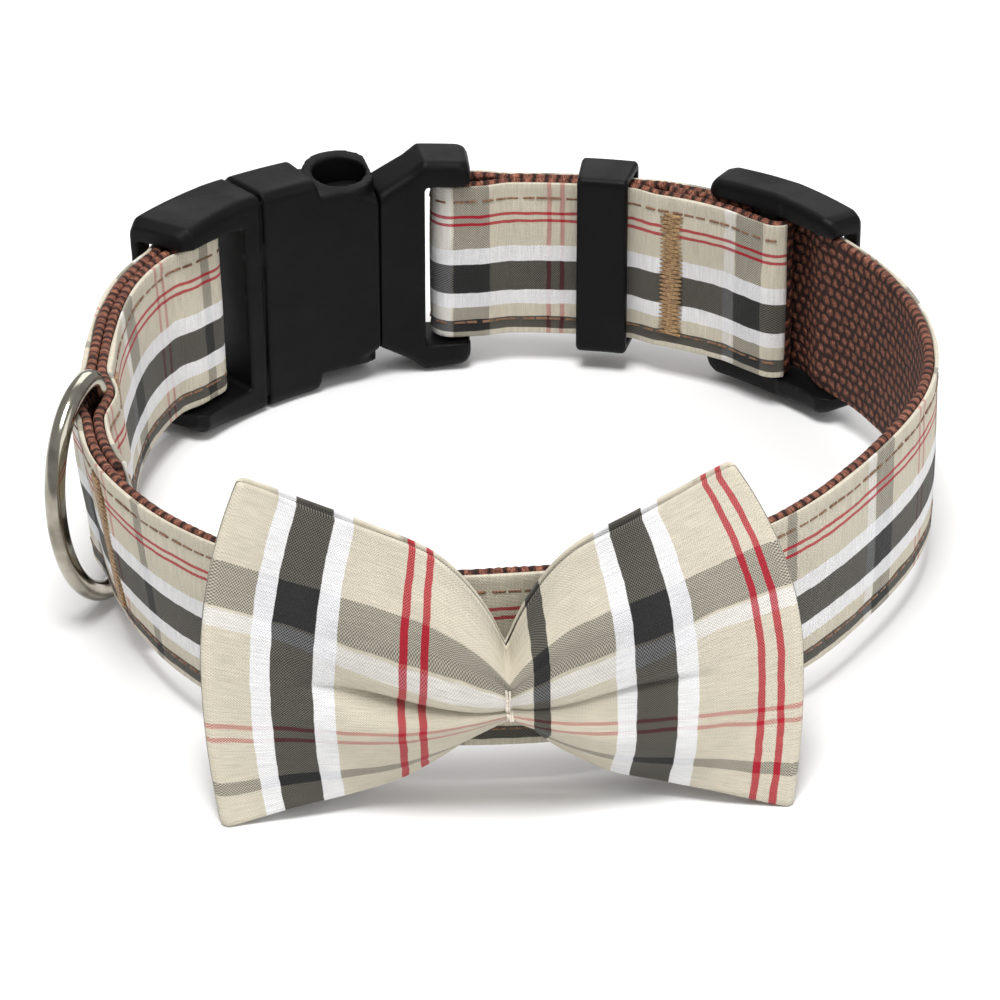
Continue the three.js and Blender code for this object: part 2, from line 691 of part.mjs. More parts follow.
// The back of the pinch lies against the cover
const bow = addPiece("bow", buildBow(), sand, 0.9);
const pinch = bowPlace(1, 0, 0.5);
const bowBack = pinch.apart + bowWall + pinch.fold * bowBackRidge + bowRest;
bow.position.copy(onLoop(bowShift, closeLine + coverTo + bowBack, 0));
bow.rotation.z = bowYaw * degree;

// The origin is on the floor, under the middle of the collar's box
const box = new THREE.Box3().setFromObject(collar, true);
const middle = box.getCenter(new THREE.Vector3());
collar.position.set(-middle.x, -middle.y, -box.min.z);

export default collar;
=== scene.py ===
"""Looks of a pet's bow tie collar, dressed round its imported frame.

The strap, its cloth cover, the buckle, keeper, slider, leash ring and bow are modelled on the same loop
line as the frame's solids. A place is given by the distance along the loop from the middle of its
front, anticlockwise from above, the distance outside its line, and the height above the strap's middle.
Lengths are metres.
"""

import json
import logging
import math
import random
from dataclasses import dataclass, field, replace
from enum import Enum
from typing import Callable, Optional, Sequence

import bmesh
import bpy
from mathutils import Matrix, Vector

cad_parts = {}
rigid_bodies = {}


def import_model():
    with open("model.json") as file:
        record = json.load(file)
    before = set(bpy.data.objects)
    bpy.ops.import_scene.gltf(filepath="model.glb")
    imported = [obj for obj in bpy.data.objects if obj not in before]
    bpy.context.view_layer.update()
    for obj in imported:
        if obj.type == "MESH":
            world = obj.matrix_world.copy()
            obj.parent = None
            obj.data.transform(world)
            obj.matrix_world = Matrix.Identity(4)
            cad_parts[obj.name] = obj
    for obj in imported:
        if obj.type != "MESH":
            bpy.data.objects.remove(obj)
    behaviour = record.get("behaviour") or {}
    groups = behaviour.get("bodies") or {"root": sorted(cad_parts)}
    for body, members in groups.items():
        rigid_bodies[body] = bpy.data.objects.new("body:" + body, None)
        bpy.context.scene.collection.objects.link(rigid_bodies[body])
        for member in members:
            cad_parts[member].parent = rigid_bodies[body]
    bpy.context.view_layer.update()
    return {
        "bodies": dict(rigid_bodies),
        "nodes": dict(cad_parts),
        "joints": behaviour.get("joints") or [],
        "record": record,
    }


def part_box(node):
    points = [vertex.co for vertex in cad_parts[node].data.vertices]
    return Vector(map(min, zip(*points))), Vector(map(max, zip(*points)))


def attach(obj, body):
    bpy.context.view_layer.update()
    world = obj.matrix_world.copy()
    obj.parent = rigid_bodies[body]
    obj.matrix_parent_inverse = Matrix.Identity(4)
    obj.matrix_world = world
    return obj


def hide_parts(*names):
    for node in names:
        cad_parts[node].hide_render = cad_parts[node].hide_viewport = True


MM = 0.001
TOUCH = 0.0001 * MM
BEYOND = 30 * MM
OVERLAP = 1 * MM
UV_MAP = "weave"
Color = tuple[float, float, float]
Place = Callable[[int, int], Vector]
log = logging.getLogger("collar")


class Body(Enum):
    """The frame's moving bodies."""

    COLLAR = "collar"
    RING = "leash_ring"


class Slot(Enum):
    """The record's material slots."""

    WEBBING = "webbing"
    CLOTH = "check_cloth"
    PLASTIC = "plastic"
    METAL = "metal"


class Runs(Enum):
    """The way a cloth's strong threads run on a piece."""

    ALONG = "along"
    ACROSS = "across"


class Cut(Enum):
    """What one solid does to another."""

    JOIN = "UNION"
    REMOVE = "DIFFERENCE"


def srgb(red: float, green: float, blue: float) -> Color:
    """A screen colour from 0 to 255 as a linear colour."""
    return tuple(
        value / 12.92 if value <= 0.04045 else ((value + 0.055) / 1.055) ** 2.4
        for value in (red / 255, green / 255, blue / 255)
    )


def mix(start: float, end: float, part: float) -> float:
    """The value a given part of the way from start to end."""
    return start + (end - start) * part


def ease(part: float) -> float:
    """A part from 0 to 1 that starts and ends softly."""
    return part * part * (3 - 2 * part)


@dataclass(frozen=True)
class LoopLine:
    """The closed line that the collar follows, with the strap's lean round it.

    reach holds the line's distance from the middle as a share of the oval's, and lean the outward lean
    in degrees, in equal turns from the right side, anticlockwise from above.
    """

    width: float = 111 * MM
    depth: float = 119 * MM
    reach: tuple[float, ...] = (1.0, 1.03, 1.03, 1.0, 1.03, 1.06, 1.01, 1.06, 1.08, 1.0, 0.97, 0.94)
    lean: tuple[float, ...] = (0, 0, 0, 0, 0, 4, 5, 9, 3, -2, 0, 0)
    middle: Vector = field(default_factory=lambda: Vector((0, 0, 17 * MM)))
    steps: int = 1440
    lengths: list[float] = field(default_factory=list)

    def __post_init__(self) -> None:
        """Measures the line in short steps."""
        self.lengths.append(0.0)
        for step in range(self.steps):
            chord = self.point((step + 1) / self.steps) - self.point(step / self.steps)
            self.lengths.append(self.lengths[-1] + chord.length)

    @staticmethod
    def _round(rows: Sequence[float], turn: float) -> float:
        """A smooth value through rows at equal steps, repeating after the last.

        Args:
            rows: the values.
            turn: the place, in turns.

        Returns:
            The value there.
        """
        spot = (turn % 1) * len(rows)
        index = math.floor(spot)
        part = spot - index
        a, b, c, d = (rows[(index + step) % len(rows)] for step in (-1, 0, 1, 2))
        bend = (2 * a - 5 * b + 4 * c - d) * part**2 + (3 * b - a - 3 * c + d) * part**3
        return b + ((c - a) * part + bend) / 2

    def point(self, share: float) -> Vector:
        """A point of the line at mid height, a share of the turn from the middle of the front."""
        turn = share - 0.25
        reach = self._round(self.reach, turn)
        angle = turn * 2 * math.pi
        across = math.cos(angle) * self.width * reach / 2
        return Vector((across, math.sin(angle) * self.depth * reach / 2, 0))

    @property
    def length(self) -> float:
        """The line's whole length."""
        return self.lengths[-1]

    def share(self, along: float) -> float:
        """The share of the turn at a distance along the line."""
        spot = along % self.length
        low, high = 0, self.steps
        while high - low > 1:
            half = (low + high) // 2
            low, high = (half, high) if self.lengths[half] <= spot else (low, half)
        step = self.lengths[low + 1] - self.lengths[low]
        return (low + (spot - self.lengths[low]) / step) / self.steps

    def frame(self, along: float) -> tuple[Vector, Vector, Vector, float]:
        """The point, heading, outward direction and lean at a distance along the line.

        Args:
            along: distance from the middle of the front.

        Returns:
            The point, two unit vectors, and the lean in radians.
        """
        share = self.share(along)
        heading = (self.point(share + 1e-4) - self.point(share - 1e-4)).normalized()
        outward = Vector((heading.y, -heading.x, 0))
        return self.point(share), heading, outward, math.radians(self._round(self.lean, share - 0.25))

    def place(self, along: float, out: float, height: float) -> Vector:
        """A point given by the distance along, the distance out and the height above the middle."""
        return self.place_in(self.frame(along), out, height)

    def place_in(self, frame: tuple[Vector, Vector, Vector, float], out: float, height: float) -> Vector:
        """A point given in one frame of the line.

        Args:
            frame: what frame() returned.
            out: distance outside the line.
            height: height above the strap's middle.

        Returns:
            The point.
        """
        point, _, outward, lean = frame
        return self.middle + point + outward * (out + height * math.tan(lean)) + Vector((0, 0, height))


def linked(bm: bmesh.types.BMesh, name: str) -> bpy.types.Object:
    """Makes an object of a bmesh, which is freed, and links it to the scene."""
    mesh = bpy.data.meshes.new(name)
    bm.to_mesh(mesh)
    bm.free()
    piece = bpy.data.objects.new(name, mesh)
    bpy.context.scene.collection.objects.link(piece)
    return piece


def finished(bm: bmesh.types.BMesh, name: str) -> bpy.types.Object:
    """Makes an object of a bmesh, with smooth faces that point outwards.

    Args:
        bm: the bmesh, which is freed.
        name: the object's name.

    Returns:
        The object, linked to the scene.
    """
    bm.normal_update()
    bmesh.ops.recalc_face_normals(bm, faces=bm.faces)
    for face in bm.faces:
        face.smooth = True
    return linked(bm, name)


def round_strip(j: int, rows: int, arc: int) -> tuple[float, float, float]:
    """A place round a flat strip's section, whose two edges are round.

    Args:
        j: the place's number, from 0 at the lower end of the far face.
        rows: the divisions across each face.
        arc: the divisions of each round edge.

    Returns:
        Across from -1 to 1, the depth from 0 on the near face to 1 on the far one, and the round
        edge's reach from 0 to 1.
    """
    back, spot = divmod(j % (2 * (rows + arc)), rows + arc)
    sign = -1.0 if back else 1.0
    if spot <= rows:
        return sign * (2 * spot / rows - 1), 1.0 - back, 0.0
    angle = math.pi * (spot - rows) / arc
    return sign, 0.5 + sign * math.cos(angle) / 2, math.sin(angle)


def shaped_grid(
    name: str,
    counts: tuple[int, int],
    place: Place,
    uv: Optional[Callable[[int, int], tuple[float, float]]] = None,
) -> bpy.types.Object:
    """A grid moved into shape. Rows that meet are merged, and open ends are closed.

    Args:
        name: the object's name.
        counts: cells one way and the other.
        place: where the grid's corner (i, j) goes.
        uv: the pattern coordinates of corner (i, j), in millimetres of cloth.

    Returns:
        The object.
    """
    bm = bmesh.new()
    layer = bm.loops.layers.uv.new(UV_MAP)
    bmesh.ops.create_grid(bm, x_segments=counts[0], y_segments=counts[1], size=1)
    cells = {
        vert: tuple(round((vert.co[axis] + 1) / 2 * counts[axis]) for axis in (0, 1)) for vert in bm.verts
    }
    if uv:
        for face in bm.faces:
            for loop in face.loops:
                loop[layer].uv = uv(*cells[loop.vert])
    for vert, (i, j) in cells.items():
        vert.co = place(i, j)
    bmesh.ops.remove_doubles(bm, verts=bm.verts, dist=TOUCH)
    open_edges = [edge for edge in bm.edges if edge.is_boundary]
    if open_edges:
        bmesh.ops.holes_fill(bm, edges=open_edges, sides=0)
    return finished(bm, name)


def joined(pieces: Sequence[bpy.types.Object], name: str) -> bpy.types.Object:
    """Joins objects into one with a new name.

    Args:
        pieces: the objects, all at the origin.
        name: the new object's name.

    Returns:
        The joined object.
    """
    bm = bmesh.new()
    for piece in pieces:
        bm.from_mesh(piece.data)
        bpy.data.objects.remove(piece, do_unlink=True)
    return linked(bm, name)


def settle(
    piece: bpy.types.Object, body: Body, slot: Slot, material: bpy.types.Material, *nodes: str
) -> None:
    """Dresses a piece and gives it to its body.

    Args:
        piece: the finished piece.
        body: what it rides on.
        slot: the record's slot for its finish. Not used.
        material: its finish.
        nodes: the frame's nodes that it stands for.
    """
    piece.data.materials.clear()
    piece.data.materials.append(material)
    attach(piece, body.value)
    if nodes:
        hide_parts(*nodes)
    log.info("%s: %d faces on %s", piece.name, len(piece.data.polygons), body.value)


class NodeBoard:
    """Short calls for one material's nodes."""

    def __init__(self, name: str, roughness: float, metallic: float = 0.0) -> None:
        """Starts a material with one Principled shader.

        Args:
            name: the material's name.
            roughness: the shader's roughness.
            metallic: the shader's metallic value.
        """
        self.material = bpy.data.materials.new(name)
        self.material.use_nodes = True
        self.nodes = self.material.node_tree.nodes
        self.links = self.material.node_tree.links
        self.shader = self.nodes["Principled BSDF"]
        self.shader.inputs["Roughness"].default_value = roughness
        self.shader.inputs["Metallic"].default_value = metallic

    def add(self, kind: str, inputs: Optional[dict] = None, **settings: object) -> bpy.types.Node:
        """Adds a node.

        Args:
            kind: the node's type.
            inputs: sockets by name or number, each with a value or a socket to link.
            settings: the node's own properties.

        Returns:
            The node.
        """
        node = self.nodes.new(kind)
        for key, value in settings.items():
            setattr(node, key, value)
        for key, value in (inputs or {}).items():
            if isinstance(value, bpy.types.NodeSocket):
                self.links.new(value, node.inputs[key])
            else:
                node.inputs[key].default_value = value
        return node

    def math(self, operation: str, *values: object) -> bpy.types.NodeSocket:
        """A math node's result for two or three values or sockets."""
        return self.add("ShaderNodeMath", dict(enumerate(values)), operation=operation).outputs[0]

    def blend(self, part: object, start: object, end: object) -> bpy.types.NodeSocket:
        """Two colours or colour sockets mixed by a part from 0 to 1."""
        colors = [(*value, 1) if isinstance(value, tuple) else value for value in (start, end)]
        node = self.add("ShaderNodeMix", {0: part, 6: colors[0], 7: colors[1]}, data_type="RGBA")
        return node.outputs[2]

    def remap(
        self, value: object, low: float, high: float, start: float = 0, end: float = 1
    ) -> bpy.types.NodeSocket:
        """A value moved from one range to another and held inside it."""
        node = self.add("ShaderNodeMapRange", {0: value, 1: low, 2: high, 3: start, 4: end})
        return node.outputs[0]

    def noise(self, vector: object, scale: float, detail: float = 3) -> bpy.types.NodeSocket:
        """A noise from 0 to 1 over a vector."""
        inputs = {"Vector": vector, "Scale": scale, "Detail": detail}
        return self.add("ShaderNodeTexNoise", inputs).outputs[0]

    def stretched(self, vector: object, scale: tuple[float, float, float]) -> bpy.types.NodeSocket:
        """A vector scaled along each axis."""
        return self.add("ShaderNodeMapping", {"Vector": vector, "Scale": scale}).outputs[0]

    def object_place(self) -> bpy.types.NodeSocket:
        """Places on the object, in metres."""
        return self.add("ShaderNodeTexCoord").outputs["Object"]

    def cloth_place(self) -> tuple[bpy.types.NodeSocket, bpy.types.NodeSocket, bpy.types.NodeSocket]:
        """Places on the flat cloth in millimetres: the vector, along and across."""
        vector = self.add("ShaderNodeUVMap", uv_map=UV_MAP).outputs[0]
        parts = self.add("ShaderNodeSeparateXYZ", {0: vector})
        return vector, parts.outputs[0], parts.outputs[1]

    def wander(self, vector: object, scale: float, reach: float) -> bpy.types.NodeSocket:
        """A noise round zero that spans a reach."""
        return self.math("MULTIPLY", self.math("SUBTRACT", self.noise(vector, scale), 0.5), reach)

    def wave(self, value: object, pitch: float) -> bpy.types.NodeSocket:
        """A sine that changes sign every pitch."""
        return self.math("SINE", self.math("MULTIPLY", value, math.pi / pitch))

    def raise_bumps(self, *bumps: tuple[object, float]) -> None:
        """Chains bumps into the shader's normal.

        Args:
            bumps: pairs of a height socket and its depth in metres.
        """
        normal = None
        for height, depth in bumps:
            inputs = {"Height": height, "Distance": depth, "Strength": 1.0}
            if normal:
                inputs["Normal"] = normal
            normal = self.add("ShaderNodeBump", inputs).outputs[0]
        self.links.new(normal, self.shader.inputs["Normal"])

    def feed(self, socket: str, value: bpy.types.NodeSocket) -> None:
        """Links a socket of the shader."""
        self.links.new(value, self.shader.inputs[socket])


@dataclass(frozen=True)
class Band:
    """One band of colour in a cloth: its middle and width in millimetres, and its colour."""

    middle: float
    width: float
    color: Color


@dataclass(frozen=True)
class CheckCloth:
    """Cotton with bands of dyed thread both ways, its warp showing more than its weft.

    Each band's middle is a distance across the threads that it colours. thin and dense are how far the
    warp shows, at least and at most, outside its bands and in them.
    """

    name: str
    warp: tuple[Band, ...]
    weft: tuple[Band, ...]
    warp_runs: Runs
    repeat: float = 46.0
    ground: Color = srgb(208, 200, 181)
    thread: float = 0.19
    blur: float = 0.05
    thin: tuple[float, float] = (0.2, 0.84)
    dense: tuple[float, float] = (0.78, 1.0)
    slub_scale: tuple[float, float] = (4.2, 0.3)
    slub_height: float = 0.09 * MM
    rib_height: float = 0.035 * MM
    roughness: float = 0.88

    def _threads(self, board: NodeBoard, place: object, bands: Sequence[Band]) -> tuple[object, object]:
        """The colour of the threads that run one way.

        Args:
            board: the material's nodes.
            place: the distance across those threads.
            bands: their coloured bands.

        Returns:
            A colour, and how far a band covers it.
        """
        color: object = self.ground
        covered: object = 0.0
        for band in bands:
            shift = 0.5 - band.middle / self.repeat
            turn = board.math("FRACT", board.math("ADD", board.math("DIVIDE", place, self.repeat), shift))
            away = board.math("ABSOLUTE", board.math("SUBTRACT", turn, 0.5))
            edge = band.width / 2
            distance = board.math("MULTIPLY", away, self.repeat)
            part = board.remap(distance, edge + self.blur, edge - self.blur)
            color = board.blend(part, color, band.color)
            covered = board.math("MAXIMUM", covered, part)
        return color, covered

    def build(self) -> bpy.types.Material:
        """Builds the cloth's material."""
        board = NodeBoard(self.name, self.roughness)
        vector, along, across = board.cloth_place()
        drift = board.wander(vector, 0.3, 0.5)
        lengthwise = self.warp_runs is Runs.ALONG
        warp_place, weft_place = (across, along) if lengthwise else (along, across)
        warp, banded = self._threads(board, board.math("ADD", warp_place, drift), self.warp)
        weft, _ = self._threads(board, board.math("ADD", weft_place, drift), self.weft)
        over = board.math("MULTIPLY", board.wave(along, self.thread), board.wave(across, self.thread))
        least, most = (board.remap(banded, 0, 1, *ends) for ends in zip(self.thin, self.dense))
        weave = board.blend(board.remap(over, -0.4, 0.4, least, most), weft, warp)
        slub_scale = self.slub_scale if lengthwise else self.slub_scale[::-1]
        slubs = board.noise(board.stretched(vector, (*slub_scale, 1)), 1.0, 4)
        shade = board.remap(slubs, 0.3, 0.72, 0.84, 1.06)
        cloud = board.remap(board.noise(vector, 0.12), 0.3, 0.7, 0.94, 1.03)
        lightness = board.math("MULTIPLY", shade, cloud)
        gray = board.add("ShaderNodeCombineColor", {i: lightness for i in range(3)})
        tinted = board.add("ShaderNodeMix", {0: 1.0, 6: weave, 7: gray.outputs[0]}, data_type="RGBA")
        tinted.blend_type = "MULTIPLY"
        board.feed("Base Color", tinted.outputs[2])
        board.shader.inputs["Sheen Weight"].default_value = 0.12
        board.shader.inputs["Sheen Roughness"].default_value = 0.5
        board.shader.inputs["Specular IOR Level"].default_value = 0.2
        rib = board.math("ADD", board.math("ABSOLUTE", board.wave(warp_place, self.thread)), over)
        board.raise_bumps((slubs, self.slub_height), (rib, self.rib_height))
        return board.material


@dataclass(frozen=True)
class BasketWebbing:
    """Coarse nylon webbing: staggered rows of pillows, in millimetres, that wander a little, with painted
    shade in their gaps and painted highlights on their tops.
    """

    name: str = "webbing"
    color: Color = srgb(112, 64, 48)
    # dark: painted shade in the gaps between the pillows, and the darker strands of the real mottling.
    dark: Color = srgb(38, 18, 12)
    # Painted highlight on the raised pillows' tops.
    painted_highlight: Color = srgb(182, 122, 98)
    row: float = 1.6
    pillow: float = 1.8
    wander: float = 1.3
    pillow_height: float = 0.42 * MM
    strand_height: float = 0.15 * MM
    roughness: float = 0.75

    def build(self) -> bpy.types.Material:
        """Builds the webbing's material."""
        board = NodeBoard(self.name, self.roughness)
        vector, along, across = board.cloth_place()
        wobble = board.wander(vector, 0.8, self.wander)
        rows = board.wave(board.math("ADD", across, wobble), self.row)
        offset = board.math("MULTIPLY", board.math("GREATER_THAN", rows, 0.0), self.pillow / 2)
        yarns = board.wave(board.math("ADD", board.math("ADD", along, wobble), offset), self.pillow)
        height = board.math("MULTIPLY", board.math("ABSOLUTE", rows), board.math("ABSOLUTE", yarns))
        strands = board.noise(board.stretched(vector, (5, 2.5, 1)), 1, 2)
        mottle = board.remap(strands, 0.3, 0.55, 0.35, 1)
        # Painted shade: where the pillows' height is low, in the gaps between them, the colour goes to dark;
        # the mottle adds real darker strands.
        shade = board.math("MULTIPLY", board.remap(height, 0.15, 0.7), mottle)
        base = board.blend(shade, self.dark, self.color)
        # Painted highlight: strands on the pillows' raised tops are lightened towards the highlight colour.
        highlight_strands = board.remap(strands, 0.42, 0.72, 0, 0.9)
        highlight_on_tops = board.math("MULTIPLY", highlight_strands, board.remap(height, 0.35, 0.9))
        board.feed("Base Color", board.blend(highlight_on_tops, base, self.painted_highlight))
        board.shader.inputs["Specular IOR Level"].default_value = 0.35
        board.raise_bumps((height, self.pillow_height), (strands, self.strand_height))
        return board.material


@dataclass(frozen=True)
class Thread:
    """Sewing thread, twisted from strands."""

    name: str
    color: Color
    dark: Color
    roughness: float = 0.7

    def build(self) -> bpy.types.Material:
        """Builds the thread's material."""
        board = NodeBoard(self.name, self.roughness)
        place = board.object_place()
        twist = board.noise(place, 2600, 2)
        board.feed("Base Color", board.blend(board.remap(twist, 0.35, 0.65), self.dark, self.color))
        board.shader.inputs["Sheen Weight"].default_value = 0.2
        board.raise_bumps((twist, 0.06 * MM))
        return board.material


@dataclass(frozen=True)
class MouldedPlastic:
    """Satin black plastic from a lightly grained mould."""

    name: str = "black_plastic"
    color: Color = srgb(9, 9, 10)
    worn: Color = srgb(28, 28, 30)
    roughness: float = 0.48

    def build(self) -> bpy.types.Material:
        """Builds the plastic's material."""
        board = NodeBoard(self.name, self.roughness)
        place = board.object_place()
        cloud = board.noise(place, 140, 4)
        grain = board.noise(place, 3400, 2)
        edge = board.add("ShaderNodeNewGeometry").outputs["Pointiness"]
        wear = board.math("MULTIPLY", board.remap(edge, 0.52, 0.62), board.remap(cloud, 0.4, 0.6))
        board.feed("Base Color", board.blend(wear, self.color, self.worn))
        board.feed("Roughness", board.remap(cloud, 0.3, 0.7, self.roughness - 0.07, self.roughness + 0.1))
        board.shader.inputs["Specular IOR Level"].default_value = 0.14
        board.raise_bumps((grain, 0.02 * MM), (cloud, 0.06 * MM))
        return board.material


@dataclass(frozen=True)
class NickelWire:
    """Bright nickel plate with faint drawing marks."""

    name: str = "nickel"
    color: Color = srgb(170, 165, 152)
    dull: Color = srgb(122, 117, 105)
    roughness: float = 0.16

    def build(self) -> bpy.types.Material:
        """Builds the plate's material."""
        board = NodeBoard(self.name, self.roughness, 1.0)
        place = board.object_place()
        stain = board.noise(place, 220, 4)
        marks = board.noise(board.stretched(place, (1, 1, 0.15)), 3000, 2)
        board.feed("Base Color", board.blend(board.remap(stain, 0.45, 0.7), self.color, self.dull))
        board.feed("Roughness", board.remap(stain, 0.3, 0.7, self.roughness - 0.05, self.roughness + 0.08))
        board.raise_bumps((marks, 0.006 * MM))
        return board.material


CHARCOAL = srgb(36, 37, 36)
WHITE = srgb(238, 238, 240)
WINE = srgb(176, 26, 46)
STRAP_CHECK = CheckCloth(
    "strap_check",
    warp=(
        Band(-2.6, 4.8, CHARCOAL),
        Band(-10.3, 1.9, CHARCOAL),
        Band(-6.1, 2.3, WHITE),
        Band(1.0, 2.5, WHITE),
        Band(6.2, 0.5, WINE),
        Band(7.4, 0.5, WINE),
    ),
    weft=(
        Band(3, 5.2, CHARCOAL),
        Band(-0.9, 2.2, WHITE),
        Band(26, 1.9, CHARCOAL),
        Band(15, 0.7, WINE),
        Band(17, 0.7, WINE),
    ),
    warp_runs=Runs.ALONG,
)
BOW_CHECK = CheckCloth(
    "bow_check",
    warp=(
        Band(-27, 5.4, CHARCOAL),
        Band(-23.0, 2.7, WHITE),
        Band(-30.9, 2.5, WHITE),
        Band(-13.4, 1.0, WINE),
        Band(-10.8, 1.0, WINE),
        Band(4.2, 2.2, CHARCOAL),
    ),
    weft=(
        Band(10.5, 5.2, CHARCOAL),
        Band(6.6, 2.0, WHITE),
        Band(-7.4, 0.7, WINE),
        Band(-9.4, 0.7, WINE),
        Band(-16.5, 1.9, CHARCOAL),
    ),
    warp_runs=Runs.ACROSS,
)


@dataclass(frozen=True)
class StrapSizes:
    """Sizes that the strap, the hardware and the bow share, as in the frame."""

    clearance: float = 0.3 * MM
    width: float = 25 * MM
    webbing: float = 1.2 * MM
    cover: float = 1.0 * MM
    hem: float = 0.3 * MM
    layer_gap: float = 0.4 * MM
    bar_thickness: float = 2 * MM
    bar_depth: float = 3.6 * MM
    joint_share: float = 0.5465
    keeper_share: float = 0.452
    slider_share: float = 0.3755
    ring_share: float = 0.7695
    plug_bar: float = 12 * MM
    socket_bar: float = 29.8 * MM
    slider_length: float = 24 * MM
    slider_side_bar: float = 2.8 * MM
    flap_length: float = 19 * MM
    slider_ease: float = 1 * MM
    keeper_width: float = 8 * MM
    ring_wire: float = 2.8 * MM
    ring_tack: float = 21 * MM
    ring_spread: float = 8 * MM
    bar_spread: float = 9 * MM
    past_turn: float = 0.4 * MM
    nap: float = 0.17 * MM
    edge_loops: float = 0.16 * MM
    selvedge: float = 0.15 * MM
    cloth_lift: float = 0.08 * MM
    cloth: float = 0.56 * MM

    @property
    def half(self) -> float:
        """Half the strap's width."""
        return self.width / 2

    @property
    def cover_to(self) -> float:
        """The cover's outer face, from the webbing's middle."""
        return self.webbing / 2 + self.clearance + self.cover

    @property
    def close_line(self) -> float:
        """How far each run of two that lie together is from the line."""
        return (self.layer_gap + self.webbing) / 2

    @property
    def bar_line(self) -> float:
        """How far a run beside a bar is from the line."""
        return self.bar_thickness / 2 + self.clearance + self.webbing / 2

    @property
    def ring_line(self) -> float:
        """How far a run beside the ring's wire is from the line."""
        return self.ring_wire / 2 + self.clearance + self.webbing / 2

    @property
    def slider_bar_out(self) -> float:
        """The slider's middle bar lies inside the line."""
        return -0.3 * self.bar_thickness

    @property
    def stack_outer(self) -> float:
        """The outer run over the strap's sewn end."""
        return self.webbing

    @property
    def stack_inner(self) -> float:
        """The inner run under the strap's sewn end."""
        return -self.webbing - 2 * self.layer_gap


@dataclass(frozen=True)
class Sewing:
    """Sizes of the strap's two rows of stitches, of the cloth's relief between them and of the tacks."""

    groove: float = 0.16 * MM
    groove_width: float = 0.5 * MM
    pucker: float = 0.07 * MM
    pucker_width: float = 1.6 * MM
    swell: float = 0.1 * MM
    wrinkle: float = 0.08 * MM
    from_edge: float = 2.7 * MM
    start: float = 2 * MM
    pitch: float = 2.15 * MM
    stitch: float = 0.84
    radius: float = 0.2 * MM
    sunk: float = 0.04 * MM
    tack_width: float = 3.6 * MM
    tack_pitch: float = 0.34 * MM
    tack_radius: float = 0.27 * MM
    tack_arch: float = 0.18 * MM
    tack_from_end: float = 2 * MM
    tack_from_ring: float = 10 * MM


